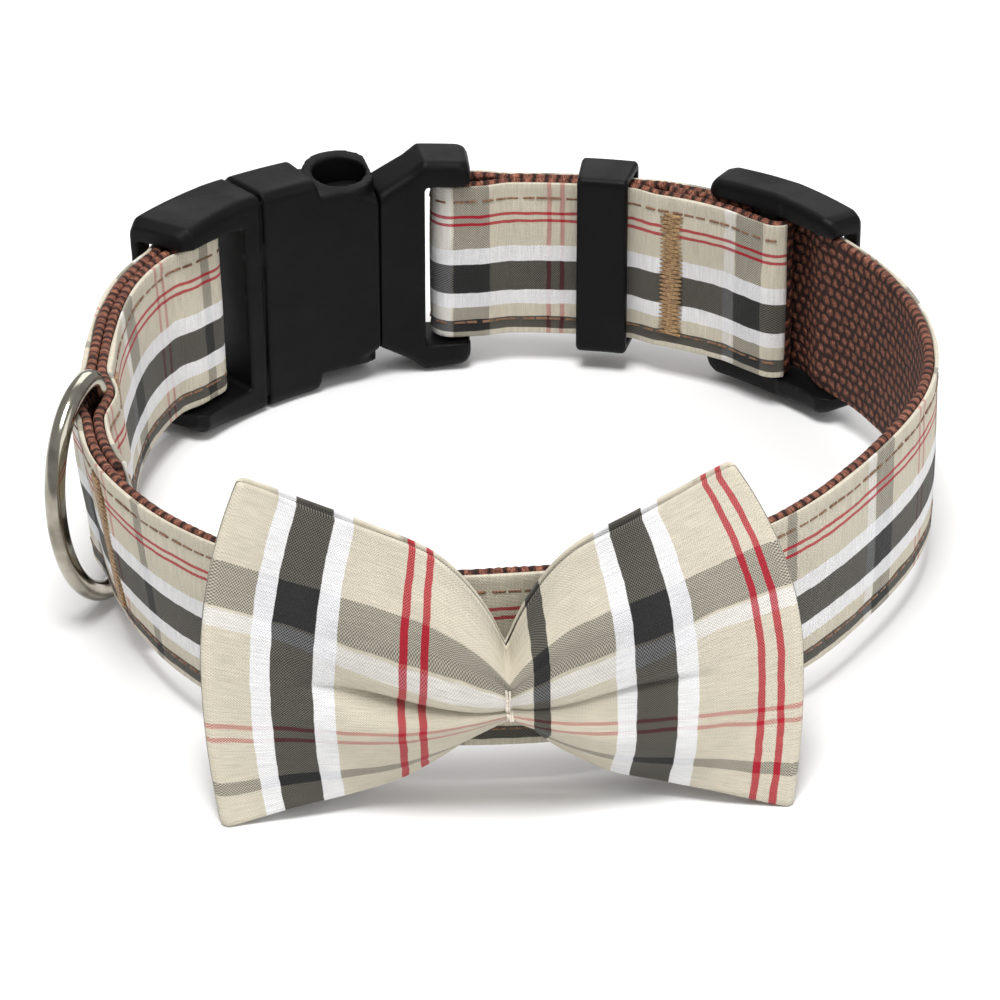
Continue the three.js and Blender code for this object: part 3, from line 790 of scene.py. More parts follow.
class Strap:
    """The webbing, its cloth cover and their stitching."""

    EDGE_STEPS = 6
    ROUTE_STEP = 0.5 * MM

    def __init__(self, line: LoopLine, sizes: StrapSizes) -> None:
        """Lays out the strap's route.

        Args:
            line: the collar's loop line.
            sizes: the strap's sizes.
        """
        self.line = line
        self.sizes = sizes
        self.sewing = Sewing()
        length = line.length
        self.joint = sizes.joint_share * length
        self.keeper = sizes.keeper_share * length
        self.slider = sizes.slider_share * length
        self.ring = sizes.ring_share * length
        self.plug_turn = self.joint - sizes.plug_bar
        self.socket_turn = self.joint + sizes.socket_bar
        self.route, self.cover_end = self._lay_route(self.ROUTE_STEP)

    def _leg(self, rows: Sequence[tuple[float, float]], step: float) -> list[tuple[float, float]]:
        """Points along a leg of the route, changing softly between its rows.

        Args:
            rows: distances along and out.
            step: the distance between points.

        Returns:
            The points, without the last row's.
        """
        points = []
        for (from_along, from_out), (to_along, to_out) in zip(rows, rows[1:]):
            steps = max(3, math.ceil(abs(to_along - from_along) / step))
            for part in (i / steps for i in range(steps)):
                points.append((mix(from_along, to_along, part), mix(from_out, to_out, ease(part))))
        return points

    def _half_turn(
        self, along: float, out: float, nose: int, start: int, steps: int = 14
    ) -> list[tuple[float, float]]:
        """Points of half a turn round a bar.

        Args:
            along: where the bar is.
            out: how far out its middle is.
            nose: 1 or -1, the way the turn points along the loop.
            start: 1 if the turn starts on the bar's outer side, -1 if on its inner side.
            steps: how many steps it has.

        Returns:
            The points.
        """
        radius = self.sizes.bar_line
        points = []
        for angle in (math.pi * step / steps for step in range(steps + 1)):
            points.append((along + nose * radius * math.sin(angle), out + start * radius * math.cos(angle)))
        return points

    def _lay_route(self, step: float) -> tuple[list[tuple[float, float]], int]:
        """The strap's whole route, and where the cover ends on it.

        Args:
            step: the distance between points.

        Returns:
            Points along and out, and the index of the cover's last one.
        """
        s = self.sizes
        lap = self.line.length
        close, bar, turn = s.close_line, s.bar_line, s.bar_depth
        side = s.slider_length / 2 - s.slider_side_bar
        foot = side - s.slider_ease
        near = s.bar_depth - s.bar_thickness / 2
        crest = s.slider_bar_out + bar + s.webbing + s.layer_gap
        out = s.slider_bar_out
        slider, plug = lap + self.slider, lap + self.plug_turn
        keeper = lap + self.keeper - s.keeper_width / 2
        tail = slider + s.flap_length
        route = self._leg(
            [
                (self.ring + s.ring_tack, -close),
                (self.ring + s.ring_spread, -close),
                (self.ring, -s.ring_line),
                (self.ring - s.ring_spread, -close),
                (self.socket_turn + s.bar_spread, -close),
                (self.socket_turn + turn, -bar),
                (self.socket_turn, -bar),
            ],
            step,
        )
        route += self._half_turn(self.socket_turn, 0, -1, -1)
        route += self._leg(
            [
                (self.socket_turn + s.past_turn, bar),
                (self.socket_turn + turn, bar),
                (self.socket_turn + s.bar_spread, close),
                (self.ring - s.ring_spread, close),
                (self.ring, s.ring_line),
                (self.ring + s.ring_spread, close),
                (slider - side, close),
                (slider - near, crest),
                (slider + near, crest),
                (slider + foot, s.stack_outer),
                (tail, s.stack_outer),
                (keeper, close),
                (plug - s.bar_spread, close),
                (plug - turn, bar),
                (plug, bar),
            ],
            step,
        )
        route += self._half_turn(plug, 0, 1, 1)
        route += self._leg(
            [
                (plug - s.past_turn, -bar),
                (plug - turn, -bar),
                (plug - s.bar_spread, -close),
                (keeper, -close),
                (tail, s.stack_inner),
                (slider + foot, s.stack_inner),
                (slider + near, out - bar),
                (slider, out - bar),
            ],
            step,
        )
        half = self._half_turn(slider, out, -1, -1)
        cover_end = len(route) + len(half) // 2
        route += half
        route += self._leg(
            [
                (slider + s.past_turn, out + bar),
                (slider + near, out + bar),
                (slider + foot, 0),
                (tail, 0),
            ],
            step,
        )
        return route, cover_end

    def _side_frames(self, points: Sequence[tuple[float, float]]) -> list[tuple]:
        """For each point of a route: its place, heading and distance travelled.

        Args:
            points: distances along and out.

        Returns:
            Tuples of along, out, the heading's two parts, and the length of cloth up to there.
        """
        frames = []
        travelled = 0.0
        for i, (along, out) in enumerate(points):
            before = points[max(i - 2, 0)]
            after = points[min(i + 2, len(points) - 1)]
            run = math.hypot(after[0] - before[0], after[1] - before[1])
            if i:
                travelled += math.hypot(along - points[i - 1][0], out - points[i - 1][1])
            ahead, aside = (after[0] - before[0]) / run, (after[1] - before[1]) / run
            frames.append((along, out, ahead, aside, travelled))
        return frames

    @staticmethod
    def _edge_loop(travelled: float) -> float:
        """The uneven loops of yarn along an edge, from -1 to 1, at a length travelled."""
        loop = math.sin(travelled / (0.47 * MM) + 2 * math.sin(travelled / (2.3 * MM)))
        return loop * (0.7 + 0.3 * math.sin(travelled / (1.7 * MM)))

    def ribbon(
        self,
        name: str,
        points: Sequence[tuple[float, float]],
        near: float,
        far: float,
        half: float,
        relief: Callable[[float, float], float],
        edge_loops: float = 0.0,
        rows: int = 26,
    ) -> bpy.types.Object:
        """A flat strip with round edges that keeps to one side of the route.

        Args:
            name: the object's name.
            points: the route.
            near: the strip's inner face, from the route.
            far: its outer face.
            half: half its width.
            relief: extra thickness of the outer face at a length travelled and a height.
            edge_loops: depth of the loops that the yarn makes along the edges.
            rows: the face's divisions across.

        Returns:
            The strip.
        """
        frames = self._side_frames(points)
        thickness = far - near
        flat = half - thickness / 2

        def corner(j: int) -> tuple[float, float]:
            """Height and depth, from 0 at the near face to 1 at the far one, round the section."""
            across, depth, past = round_strip(j, rows, self.EDGE_STEPS)
            return flat * across + math.copysign(past, across) * thickness / 2, depth

        def place(i: int, j: int) -> Vector:
            """Where a corner of the strip goes."""
            along, out, ahead, aside, travelled = frames[i]
            height, depth = corner(j)
            if edge_loops and abs(height) > flat:
                height += math.copysign(edge_loops * self._edge_loop(travelled), height)
            side = near + depth * thickness
            side += (depth - 0.5) * 2 * relief(travelled, height)
            return self.line.place(along - aside * side, out + ahead * side, height)

        def uv(i: int, j: int) -> tuple[float, float]:
            """Millimetres along and across the strip."""
            return frames[i][4] / MM, corner(j)[0] / MM

        return shaped_grid(name, (len(points) - 1, 2 * (rows + self.EDGE_STEPS)), place, uv)

    def puffed(self, travelled: float, height: float) -> float:
        """How the cover swells between its stitching and puckers at it.

        Args:
            travelled: the length of cloth from the sewn end.
            height: the height above the middle.

        Returns:
            The outer face's extra height.
        """
        row, sewing = self.stitch_height, self.sewing
        from_row = abs(abs(height) - row)
        groove = -sewing.groove * math.exp(-((from_row / sewing.groove_width) ** 2))
        pucker = sewing.pucker * math.sin(travelled / (1.9 * MM) + 3 * math.sin(travelled / (23 * MM)))
        near_row = math.exp(-((from_row / sewing.pucker_width) ** 2))
        swell = sewing.swell * math.cos(min(abs(height) / row, 1.0) * math.pi / 2)
        slant = travelled / (3.7 * MM) + 1.7 * math.sin(height / (4.5 * MM) + travelled / (31 * MM))
        wrinkle = sewing.wrinkle * math.sin(slant) * (1 + math.sin(travelled / (17 * MM)))
        return groove + pucker * near_row + swell + wrinkle * (1 - near_row)

    @property
    def stitch_height(self) -> float:
        """How far the stitching is from the strap's middle."""
        return self.sizes.half - self.sewing.from_edge

    @staticmethod
    def dense(points: Sequence[tuple[float, float]], parts: int) -> list[tuple[float, float]]:
        """A route with each step split into parts."""
        finer = []
        for (a, b), (c, d) in zip(points, points[1:]):
            finer += [(mix(a, c, k / parts), mix(b, d, k / parts)) for k in range(parts)]
        return finer + [points[-1]]

    def stitch(self, at: tuple, height: float, side: float) -> bpy.types.Object:
        """One stitch lying on the strap.

        Args:
            at: one of _side_frames' tuples.
            height: its height above the middle.
            side: how far it is from the route.

        Returns:
            The stitch as an object.
        """
        along, out, ahead, aside, _ = at
        length, radius = self.sewing.pitch * self.sewing.stitch, self.sewing.radius
        bm = bmesh.new()
        bmesh.ops.create_cone(bm, cap_ends=True, segments=6, radius1=radius, radius2=radius, depth=length)
        bmesh.ops.bevel(
            bm,
            geom=[edge for edge in bm.edges if abs(edge.verts[0].co.z - edge.verts[1].co.z) < TOUCH],
            offset=radius * 0.6,
            affect="EDGES",
            segments=1,
            profile=0.5,
            material=-1,
        )
        for vert in bm.verts:
            reach = vert.co.z
            sink = -0.5 * radius * (2 * reach / length) ** 2
            lift = side + vert.co.x + sink
            vert.co = self.line.place(
                along + ahead * reach - aside * lift, out + aside * reach + ahead * lift, height + vert.co.y
            )
        return finished(bm, "stitch")

    def seam(self, name: str, frames: Sequence[tuple], side: float) -> bpy.types.Object:
        """Two rows of stitches along the cover.

        Args:
            name: the object's name.
            frames: the cover's side frames.
            side: how far the stitches are from the route.

        Returns:
            Both rows as one object.
        """
        stitches = []
        for row in (-1, 1):
            due = self.sewing.start
            for at in frames:
                if at[4] < due:
                    continue
                due += self.sewing.pitch
                stitches.append(self.stitch(at, row * self.stitch_height, side))
        return joined(stitches, name)

    def tack(self, name: str, along: float, out: float, side: int) -> bpy.types.Object:
        """A dense zigzag across the strap.

        Args:
            name: the object's name.
            along: its middle.
            out: how far out its threads lie.
            side: 1 if it is on the outer face, -1 if on the inner one.

        Returns:
            The zigzag as one object.
        """
        width, pitch, radius = self.sewing.tack_width, self.sewing.tack_pitch, self.sewing.tack_radius
        reach = self.stitch_height
        turns = int(2 * reach / pitch)
        path = [(along + width / 2 * (1 if i % 2 else -1), -reach + i * pitch) for i in range(turns + 1)]
        fine = self.dense(path, 6)[:-1]
        sides = 6

        def place(i: int, j: int) -> Vector:
            """Where a corner of the thread goes."""
            before, after = fine[max(i - 1, 0)], fine[min(i + 1, len(fine) - 1)]
            run = math.hypot(after[0] - before[0], after[1] - before[1]) or 1.0
            angle = 2 * math.pi * (j % sides) / sides
            ahead, up = (after[0] - before[0]) / run, (after[1] - before[1]) / run
            arch = self.sewing.tack_arch * math.cos((fine[i][0] - along) / width * math.pi)
            lift = side * (radius * math.sin(angle) + arch)
            shift = radius * math.cos(angle)
            return self.line.place(fine[i][0] - up * shift, out + lift, fine[i][1] + ahead * shift)

        return shaped_grid(name, (len(fine) - 1, sides), place)

    def build(self) -> None:
        """Builds and dresses the webbing, cover, seams and tacks."""
        s = self.sizes
        brown = BasketWebbing().build()
        cloth = STRAP_CHECK.build()
        thread = Thread("brown_thread", srgb(142, 104, 74), srgb(92, 60, 42)).build()
        tan = Thread("tan_thread", srgb(176, 142, 98), srgb(120, 90, 58)).build()
        webbing = self.ribbon(
            "webbing_strap",
            self.dense(self.route, 2),
            -s.webbing / 2 - s.nap,
            s.webbing / 2,
            s.half - s.selvedge,
            lambda travelled, height: 0.0,
            edge_loops=s.edge_loops,
            rows=14,
        )
        settle(webbing, Body.COLLAR, Slot.WEBBING, brown, "webbing")
        covered = self.route[: self.cover_end]
        inner = s.webbing / 2 + s.cloth_lift
        outer = inner + s.cloth
        cover = self.ribbon("cover_ribbon", covered, inner, outer, s.half - s.hem, self.puffed)
        settle(cover, Body.COLLAR, Slot.CLOTH, cloth, "cover")
        seam = self.seam("topstitch", self._side_frames(covered), outer - self.sewing.sunk)
        settle(seam, Body.COLLAR, Slot.CLOTH, thread)
        face = s.close_line + outer
        back = self.slider + s.flap_length - self.sewing.tack_from_end
        left = self.ring + s.ring_tack - self.sewing.tack_from_end
        beside_ring = self.ring - self.sewing.tack_from_ring
        spots = (
            ("tack_back_inner", back, s.stack_inner - outer, -1),
            ("tack_back_outer", back, s.stack_outer + outer, 1),
            ("tack_left_outer", left, face, 1),
            ("tack_left_inner", left, -face, -1),
            ("tack_ring_outer", beside_ring, face, 1),
            ("tack_ring_inner", beside_ring, -face, -1),
        )
        for name, along, out, side in spots:
            tack = self.tack(name, along, out, side)
            settle(tack, Body.COLLAR, Slot.CLOTH, tan)


@dataclass(frozen=True)
class Section:
    """An upright rectangle with rounded corners, at a place along the loop."""

    along: float
    half: float
    inner: float
    outer: float
    edge: float


def mirrored(
    ends: tuple[float, float], rows: Sequence[Section], between: Sequence[Section] = ()
) -> list[Section]:
    """Sections that are alike from both ends.

    Args:
        ends: the first and last places along the loop.
        rows: sections placed by their distance from the nearer end, outermost first.
        between: sections between them, placed along the loop.

    Returns:
        All the sections in order.
    """
    first = [replace(row, along=ends[0] + row.along) for row in rows]
    last = [replace(row, along=ends[1] - row.along) for row in reversed(rows)]
    return [*first, *between, *last]


class Moulding:
    """A solid on the loop line, joined and cut from simple solids and then softened."""

    RING_PITCH = 0.8 * MM
    CORNER_STEPS = 6
    POST_SIDES = 40
    SMOOTHING = 4

    def __init__(self, line: LoopLine) -> None:
        """Starts with nothing.

        Args:
            line: the collar's loop line.
        """
        self.line = line
        self.steps: list[tuple[Cut, bpy.types.Object]] = []

    def wrapped(self, bm: bmesh.types.BMesh, name: str) -> bpy.types.Object:
        """Wraps a straight solid, with x along the loop, y out and z up, onto the loop."""
        for vert in bm.verts:
            vert.co = self.line.place(*vert.co)
        return finished(bm, name)

    def loft(self, sections: Sequence[Section]) -> bpy.types.Object:
        """A solid through upright sections.

        Args:
            sections: the sections in order along the loop.

        Returns:
            The solid.
        """
        rows: list[Section] = []
        corner_steps = self.CORNER_STEPS
        for row, after in zip(sections, sections[1:]):
            count = max(1, math.ceil((after.along - row.along) / self.RING_PITCH))
            for step in range(count):
                part = step / count
                names = ("along", "half", "inner", "outer", "edge")
                rows.append(Section(*(mix(getattr(row, key), getattr(after, key), part) for key in names)))
        rows.append(sections[-1])
        count = 4 * (corner_steps + 1)

        def place(i: int, j: int) -> Vector:
            """Where a corner of the solid's skin goes."""
            row = rows[i]
            quarter, step = divmod(j % count, corner_steps + 1)
            angle = (quarter - 1 + step / corner_steps) * math.pi / 2
            up = 1 if quarter in (0, 1) else -1
            aside = 1 if quarter in (1, 2) else -1
            height = up * (row.half - row.edge) + row.edge * math.cos(angle)
            middle = (row.inner + row.outer) / 2
            spread = (row.outer - row.inner) / 2 - row.edge
            return self.line.place(row.along, middle + aside * spread + row.edge * math.sin(angle), height)

        return shaped_grid("loft", (len(rows) - 1, count), place)

    def block(
        self,
        along: tuple[float, float],
        out: tuple[float, float],
        height: tuple[float, float],
        slope: float = 0.0,
    ) -> bpy.types.Object:
        """A block that may have one sloping face.

        Args:
            along: its limits along the loop.
            out: its limits out from the loop.
            height: its limits in height.
            slope: how much nearer to the strap's middle its end face comes on the loop's inner side.

        Returns:
            The block.
        """
        bm = bmesh.new()
        bmesh.ops.create_cube(bm, size=1)
        size = Vector((along[1] - along[0], out[1] - out[0], height[1] - height[0]))
        bmesh.ops.scale(bm, vec=size, verts=bm.verts)
        ends = {edge: [vert.co.x for vert in edge.verts] for edge in bm.edges}
        lengthwise = [edge for edge, (start, end) in ends.items() if abs(start - end) > size.x / 2]
        cuts = max(1, math.ceil(size.x / OVERLAP))
        bmesh.ops.subdivide_edges(bm, edges=lengthwise, cuts=cuts, use_grid_fill=True)
        middle = Vector(((along[0] + along[1]) / 2, (out[0] + out[1]) / 2, (height[0] + height[1]) / 2))
        bmesh.ops.translate(bm, vec=middle, verts=bm.verts)
        inner = min(height, key=abs)
        for vert in bm.verts:
            if vert.co.y < middle.y and abs(vert.co.z - inner) < 10 * TOUCH:
                vert.co.z -= math.copysign(slope, inner)
        return self.wrapped(bm, "block")

    def post(
        self, along: float, out: float, size: tuple[float, float], height: tuple[float, float]
    ) -> bpy.types.Object:
        """An upright oval post.

        Args:
            along: its place along the loop.
            out: its middle's distance out.
            size: its length along the loop and its thickness.
            height: its lowest and highest ends.

        Returns:
            The post.
        """
        bm = bmesh.new()
        depth = height[1] - height[0]
        bmesh.ops.create_cone(
            bm, cap_ends=True, segments=self.POST_SIDES, radius1=0.5, radius2=0.5, depth=depth
        )
        bmesh.ops.scale(bm, vec=Vector((size[0], size[1], 1)), verts=bm.verts)
        bmesh.ops.translate(bm, vec=Vector((along, out, (height[0] + height[1]) / 2)), verts=bm.verts)
        return self.wrapped(bm, "post")

    def bar(self, along: float, out: float, side: int, half: float, sizes: StrapSizes) -> None:
        """Joins a strap bar: a flat upright bar with a round nose.

        Args:
            along: where its nose's middle is.
            out: how far out it is.
            side: 1 or -1, the way its back points along the loop.
            half: half its height.
            sizes: the strap's sizes.
        """
        back = along + side * (sizes.bar_depth - sizes.bar_thickness / 2)
        reach = (min(along, back), max(along, back))
        thick = sizes.bar_thickness
        self.join(self.block(reach, (out - thick / 2, out + thick / 2), (-half, half)))
        self.join(self.post(along, out, (thick, thick), (-half, half)))

    def join(self, solid: bpy.types.Object) -> None:
        """Adds a solid."""
        self.steps.append((Cut.JOIN, solid))

    def remove(self, solid: bpy.types.Object) -> None:
        """Cuts a solid away."""
        self.steps.append((Cut.REMOVE, solid))

    def finish(self, name: str, voxel: float) -> bpy.types.Object:
        """Carries out the joins and cuts and softens the edges.

        Args:
            name: the finished object's name.
            voxel: the cell of the even mesh that carries the soft edges.

        Returns:
            The finished moulding.
        """
        base = self.steps[0][1]
        for cut, solid in self.steps[1:]:
            modifier = base.modifiers.new(cut.value, "BOOLEAN")
            modifier.operation = cut.value
            modifier.object = solid
            modifier.solver = "EXACT"
        even = base.modifiers.new("even", "REMESH")
        even.mode = "VOXEL"
        even.voxel_size = voxel
        soft = base.modifiers.new("soft", "SMOOTH")
        soft.factor = 0.5
        soft.iterations = self.SMOOTHING
        graph = bpy.context.evaluated_depsgraph_get()
        mesh = bpy.data.meshes.new_from_object(base.evaluated_get(graph))
        mesh.name = name
        for _, solid in self.steps:
            bpy.data.objects.remove(solid, do_unlink=True)
        for face in mesh.polygons:
            face.use_smooth = True
        piece = bpy.data.objects.new(name, mesh)
        bpy.context.scene.collection.objects.link(piece)
        return piece


@dataclass
class Fitting:
    """Something that sits on the strap."""

    strap: Strap
    finish: bpy.types.Material

    @property
    def line(self) -> LoopLine:
        """The collar's loop line."""
        return self.strap.line

    @property
    def sizes(self) -> StrapSizes:
        """The strap's sizes."""
        return self.strap.sizes


@dataclass
class Buckle(Fitting):
    """The side-release buckle's socket and plug, fastened."""

    height: float = 34 * MM
    thickness: float = 9.6 * MM
    neck: float = 25 * MM
    body: float = 20.6 * MM
    frame: float = 16.2 * MM
    socket_slot: float = 24.6 * MM
    plug: float = 14.6 * MM
    plug_slot: float = 7.4 * MM
    groove: float = 0.8 * MM
    groove_depth: float = 0.8 * MM
    mouth: float = 0.3 * MM
    frame_trim: float = 0.2 * MM
    lobe_at: float = 5.0 * MM
    lobe: float = 10.8 * MM
    lobe_wall: float = 1.4 * MM
    rim_slope: float = 3.0 * MM
    pad_drop: float = 3.8 * MM
    pad_play: float = 1 * MM
    plug_thinner: float = 0.5 * MM
    arm: float = 2.8 * MM
    tongue: tuple[float, float, float] = (14 * MM, 1.9 * MM, 3.5 * MM)
    cavity_play: float = 0.6 * MM
    edge: float = 1.6 * MM
    cavity: tuple[float, float, float] = (17.5 * MM, 5 * MM, 22.4 * MM)
    end_bar: tuple[float, float] = (2.8 * MM, 1.7 * MM)
    voxel: float = 0.27 * MM

    @property
    def open_half(self) -> float:
        """Half the height of each slot that the strap passes."""
        return self.sizes.half + self.sizes.clearance

    def socket(self) -> bpy.types.Object:
        """Builds the socket."""
        start = self.strap.joint
        top, thick, edge = self.height / 2, self.thickness / 2, self.edge
        frame_start = start + self.body + self.groove
        frame_end = frame_start + self.frame - self.frame_trim
        cover_out = self.sizes.bar_line + self.sizes.cover_to + self.sizes.clearance
        outer = cover_out + self.end_bar[1]
        deep = self.groove_depth
        mouth = start + self.mouth
        mould = Moulding(self.line)
        lobe_mid = start + self.lobe_at
        lobe_end = lobe_mid + self.lobe / 2

        def row(along: float, half: float, inner: float = -thick, out: float = thick) -> Section:
            """One section with the usual edge."""
            return Section(along, half, inner, out, edge)

        mould.join(
            mould.loft(
                [
                    row(mouth, self.neck / 2),
                    row(lobe_mid, top - 2.4 * MM),
                    row(lobe_end, top - 1.4 * MM),
                    row(lobe_end + 0.8 * MM, top),
                    row(start + self.body, top),
                    row(start + self.body + 0.1 * MM, top - deep, deep - thick, thick - deep),
                    row(frame_start - 0.1 * MM, top - deep, deep - thick, thick - deep),
                    row(frame_start, top),
                    row(start + self.socket_slot, top),
                    row(frame_end - edge, top - 1 * MM, -thick, outer),
                    row(frame_end, top - 2 * MM, 1 * MM - thick, outer - 0.5 * MM),
                ]
            )
        )
        lobe_height = (0.2 * MM - top, top - 0.2 * MM)
        mould.join(mould.post(lobe_mid, 0, (self.lobe, self.thickness), lobe_height))
        far = BEYOND
        mould.remove(mould.block((start - 3 * OVERLAP, mouth), (-far / 2, far / 2), (-far, far)))
        depth, gap, tall = self.cavity
        reach = (start - OVERLAP, start + depth)
        mould.remove(mould.block(reach, (-gap / 2, gap / 2), (-tall / 2, tall / 2)))
        hole = (self.lobe - 2 * self.lobe_wall, self.thickness - 2 * self.lobe_wall - 0.6 * MM)
        mould.remove(mould.post(lobe_mid, 0, hole, (tall / 2 - OVERLAP, top + OVERLAP)))
        mould.remove(mould.post(lobe_mid, 0, hole, (-top - OVERLAP, OVERLAP - tall / 2)))
        rim = ((start - OVERLAP, lobe_end + 0.2 * MM), (-thick - 0.4 * MM, thick))
        for limits in ((top, far), (-far, -top)):
            mould.remove(mould.block(*rim, limits, self.rim_slope))
        half = self.open_half
        slot = start + self.socket_slot
        for limits, out in (
            ((slot, frame_end + OVERLAP), (-far, outer - self.end_bar[1])),
            ((slot, frame_end - self.end_bar[0]), (0, far)),
        ):
            mould.remove(mould.block(limits, out, (-half, half)))
        mould.bar(self.strap.socket_turn, 0, 1, half + edge, self.sizes)
        return mould.finish("socket", self.voxel)

    def plug_half(self) -> bpy.types.Object:
        """Builds the plug with its tongue, arms and press pads."""
        start = self.strap.joint
        top, edge = self.height / 2, self.edge
        thick = self.thickness / 2 - self.plug_thinner
        mould = Moulding(self.line)

        def row(along: float, half: float, trim: float = 0.0) -> Section:
            """One section with the usual edge."""
            return Section(start - along, half, trim - thick, thick - trim, edge)

        mould.join(
            mould.loft(
                [
                    row(self.plug, top - 1.6 * MM, 0.8 * MM),
                    row(self.plug - 0.5 * MM, top - 0.8 * MM, 0.3 * MM),
                    row(self.plug - 1.4 * MM, top - 0.5 * MM),
                    row(self.plug_slot, top),
                    row(self.plug_slot - 2 * MM, top - 1.6 * MM),
                    row(0, self.neck / 2),
                ]
            )
        )
        half = self.open_half
        slot = (start - self.plug - OVERLAP, start - self.plug_slot)
        mould.remove(mould.block(slot, (-BEYOND, BEYOND), (-half, half)))
        mould.bar(self.strap.plug_turn, 0, -1, half + edge, self.sizes)
        length, thin, tall = self.tongue
        mould.join(mould.block((start - OVERLAP, start + length), (-thin, thin), (-tall, tall)))
        pad = (self.lobe - 2 * self.lobe_wall - self.pad_play, self.cavity[1] - 2 * self.cavity_play)
        arm_top = self.cavity[2] / 2 - self.cavity_play
        reach = (start - OVERLAP, start + self.lobe_at + pad[0] / 2)
        for side in (-1, 1):
            low, high = sorted((side * (arm_top - self.arm), side * arm_top))
            mould.join(mould.block(reach, (-pad[1] / 2, pad[1] / 2), (low, high)))
            low, high = sorted((side * (arm_top - self.arm / 2), side * (top - self.pad_drop)))
            mould.join(mould.post(start + self.lobe_at, 0, pad, (low, high)))
        return mould.finish("plug", self.voxel)

    def build(self) -> None:
        """Builds and dresses both halves."""
        settle(self.socket(), Body.COLLAR, Slot.PLASTIC, self.finish, "buckle_socket")
        settle(self.plug_half(), Body.COLLAR, Slot.PLASTIC, self.finish, "buckle_plug")


@dataclass
class Keeper(Fitting):
    """The plain loop that holds both runs of the strap together."""

    wall: float = 1.3 * MM
    soft: float = 0.4 * MM
    edge_trim: float = 0.3 * MM
    voxel: float = 0.25 * MM

    def build(self) -> None:
        """Builds and dresses the keeper."""
        s = self.sizes
        inside = s.close_line + s.cover_to + s.clearance
        open_half = s.half + s.clearance
        start, end = self.strap.keeper - s.keeper_width / 2, self.strap.keeper + s.keeper_width / 2
        outside = inside + self.wall
        half = open_half + self.wall
        mould = Moulding(self.line)
        soft, edge = self.soft, self.wall - self.edge_trim
        rows = (
            Section(0, half - soft, soft - outside, outside - soft, self.wall - soft),
            Section(soft, half, -outside, outside, edge),
        )
        mould.join(mould.loft(mirrored((start, end), rows)))
        reach = (start - OVERLAP, end + OVERLAP)
        mould.remove(mould.block(reach, (-inside, inside), (-open_half, open_half)))
        settle(mould.finish("keeper_loop", self.voxel), Body.COLLAR, Slot.PLASTIC, self.finish, "keeper")


@dataclass
class Slider(Fitting):
    """The three-bar slider that sets the collar's length."""

    rail: float = 3.3 * MM
    side_bar: float = 1.6 * MM
    edge: float = 1.2 * MM
    voxel: float = 0.28 * MM

    def build(self) -> None:
        """Builds and dresses the slider."""
        s = self.sizes
        reach = s.slider_length / 2
        open_half = s.half + s.clearance
        inside = s.stack_outer + s.cover_to + s.clearance
        outer = inside + self.side_bar
        inner = s.slider_bar_out - s.bar_thickness / 2
        half = open_half + self.rail
        middle = self.strap.slider
        edge = self.edge
        rows = (
            Section(0, half - 1.8 * MM, inner + 1.1 * MM, outer - 0.8 * MM, edge * 0.7),
            Section(0.7 * MM, half - 0.9 * MM, inner + 0.5 * MM, outer - 0.2 * MM, edge),
            Section(2 * MM, half - 0.4 * MM, inner, outer, edge),
        )
        widest = Section(middle, half, inner, outer, edge)
        mould = Moulding(self.line)
        mould.join(mould.loft(mirrored((middle - reach, middle + reach), rows, [widest])))
        room = (-open_half, open_half)
        mould.remove(mould.block((middle - 2 * reach, middle + 2 * reach), (-BEYOND, inside), room))
        side = reach - s.slider_side_bar
        mould.remove(mould.block((middle - side, middle + side), (0, BEYOND), room))
        mould.bar(middle, s.slider_bar_out, 1, open_half + OVERLAP, s)
        settle(mould.finish("slider_bar", self.voxel), Body.COLLAR, Slot.PLASTIC, self.finish, "slider")


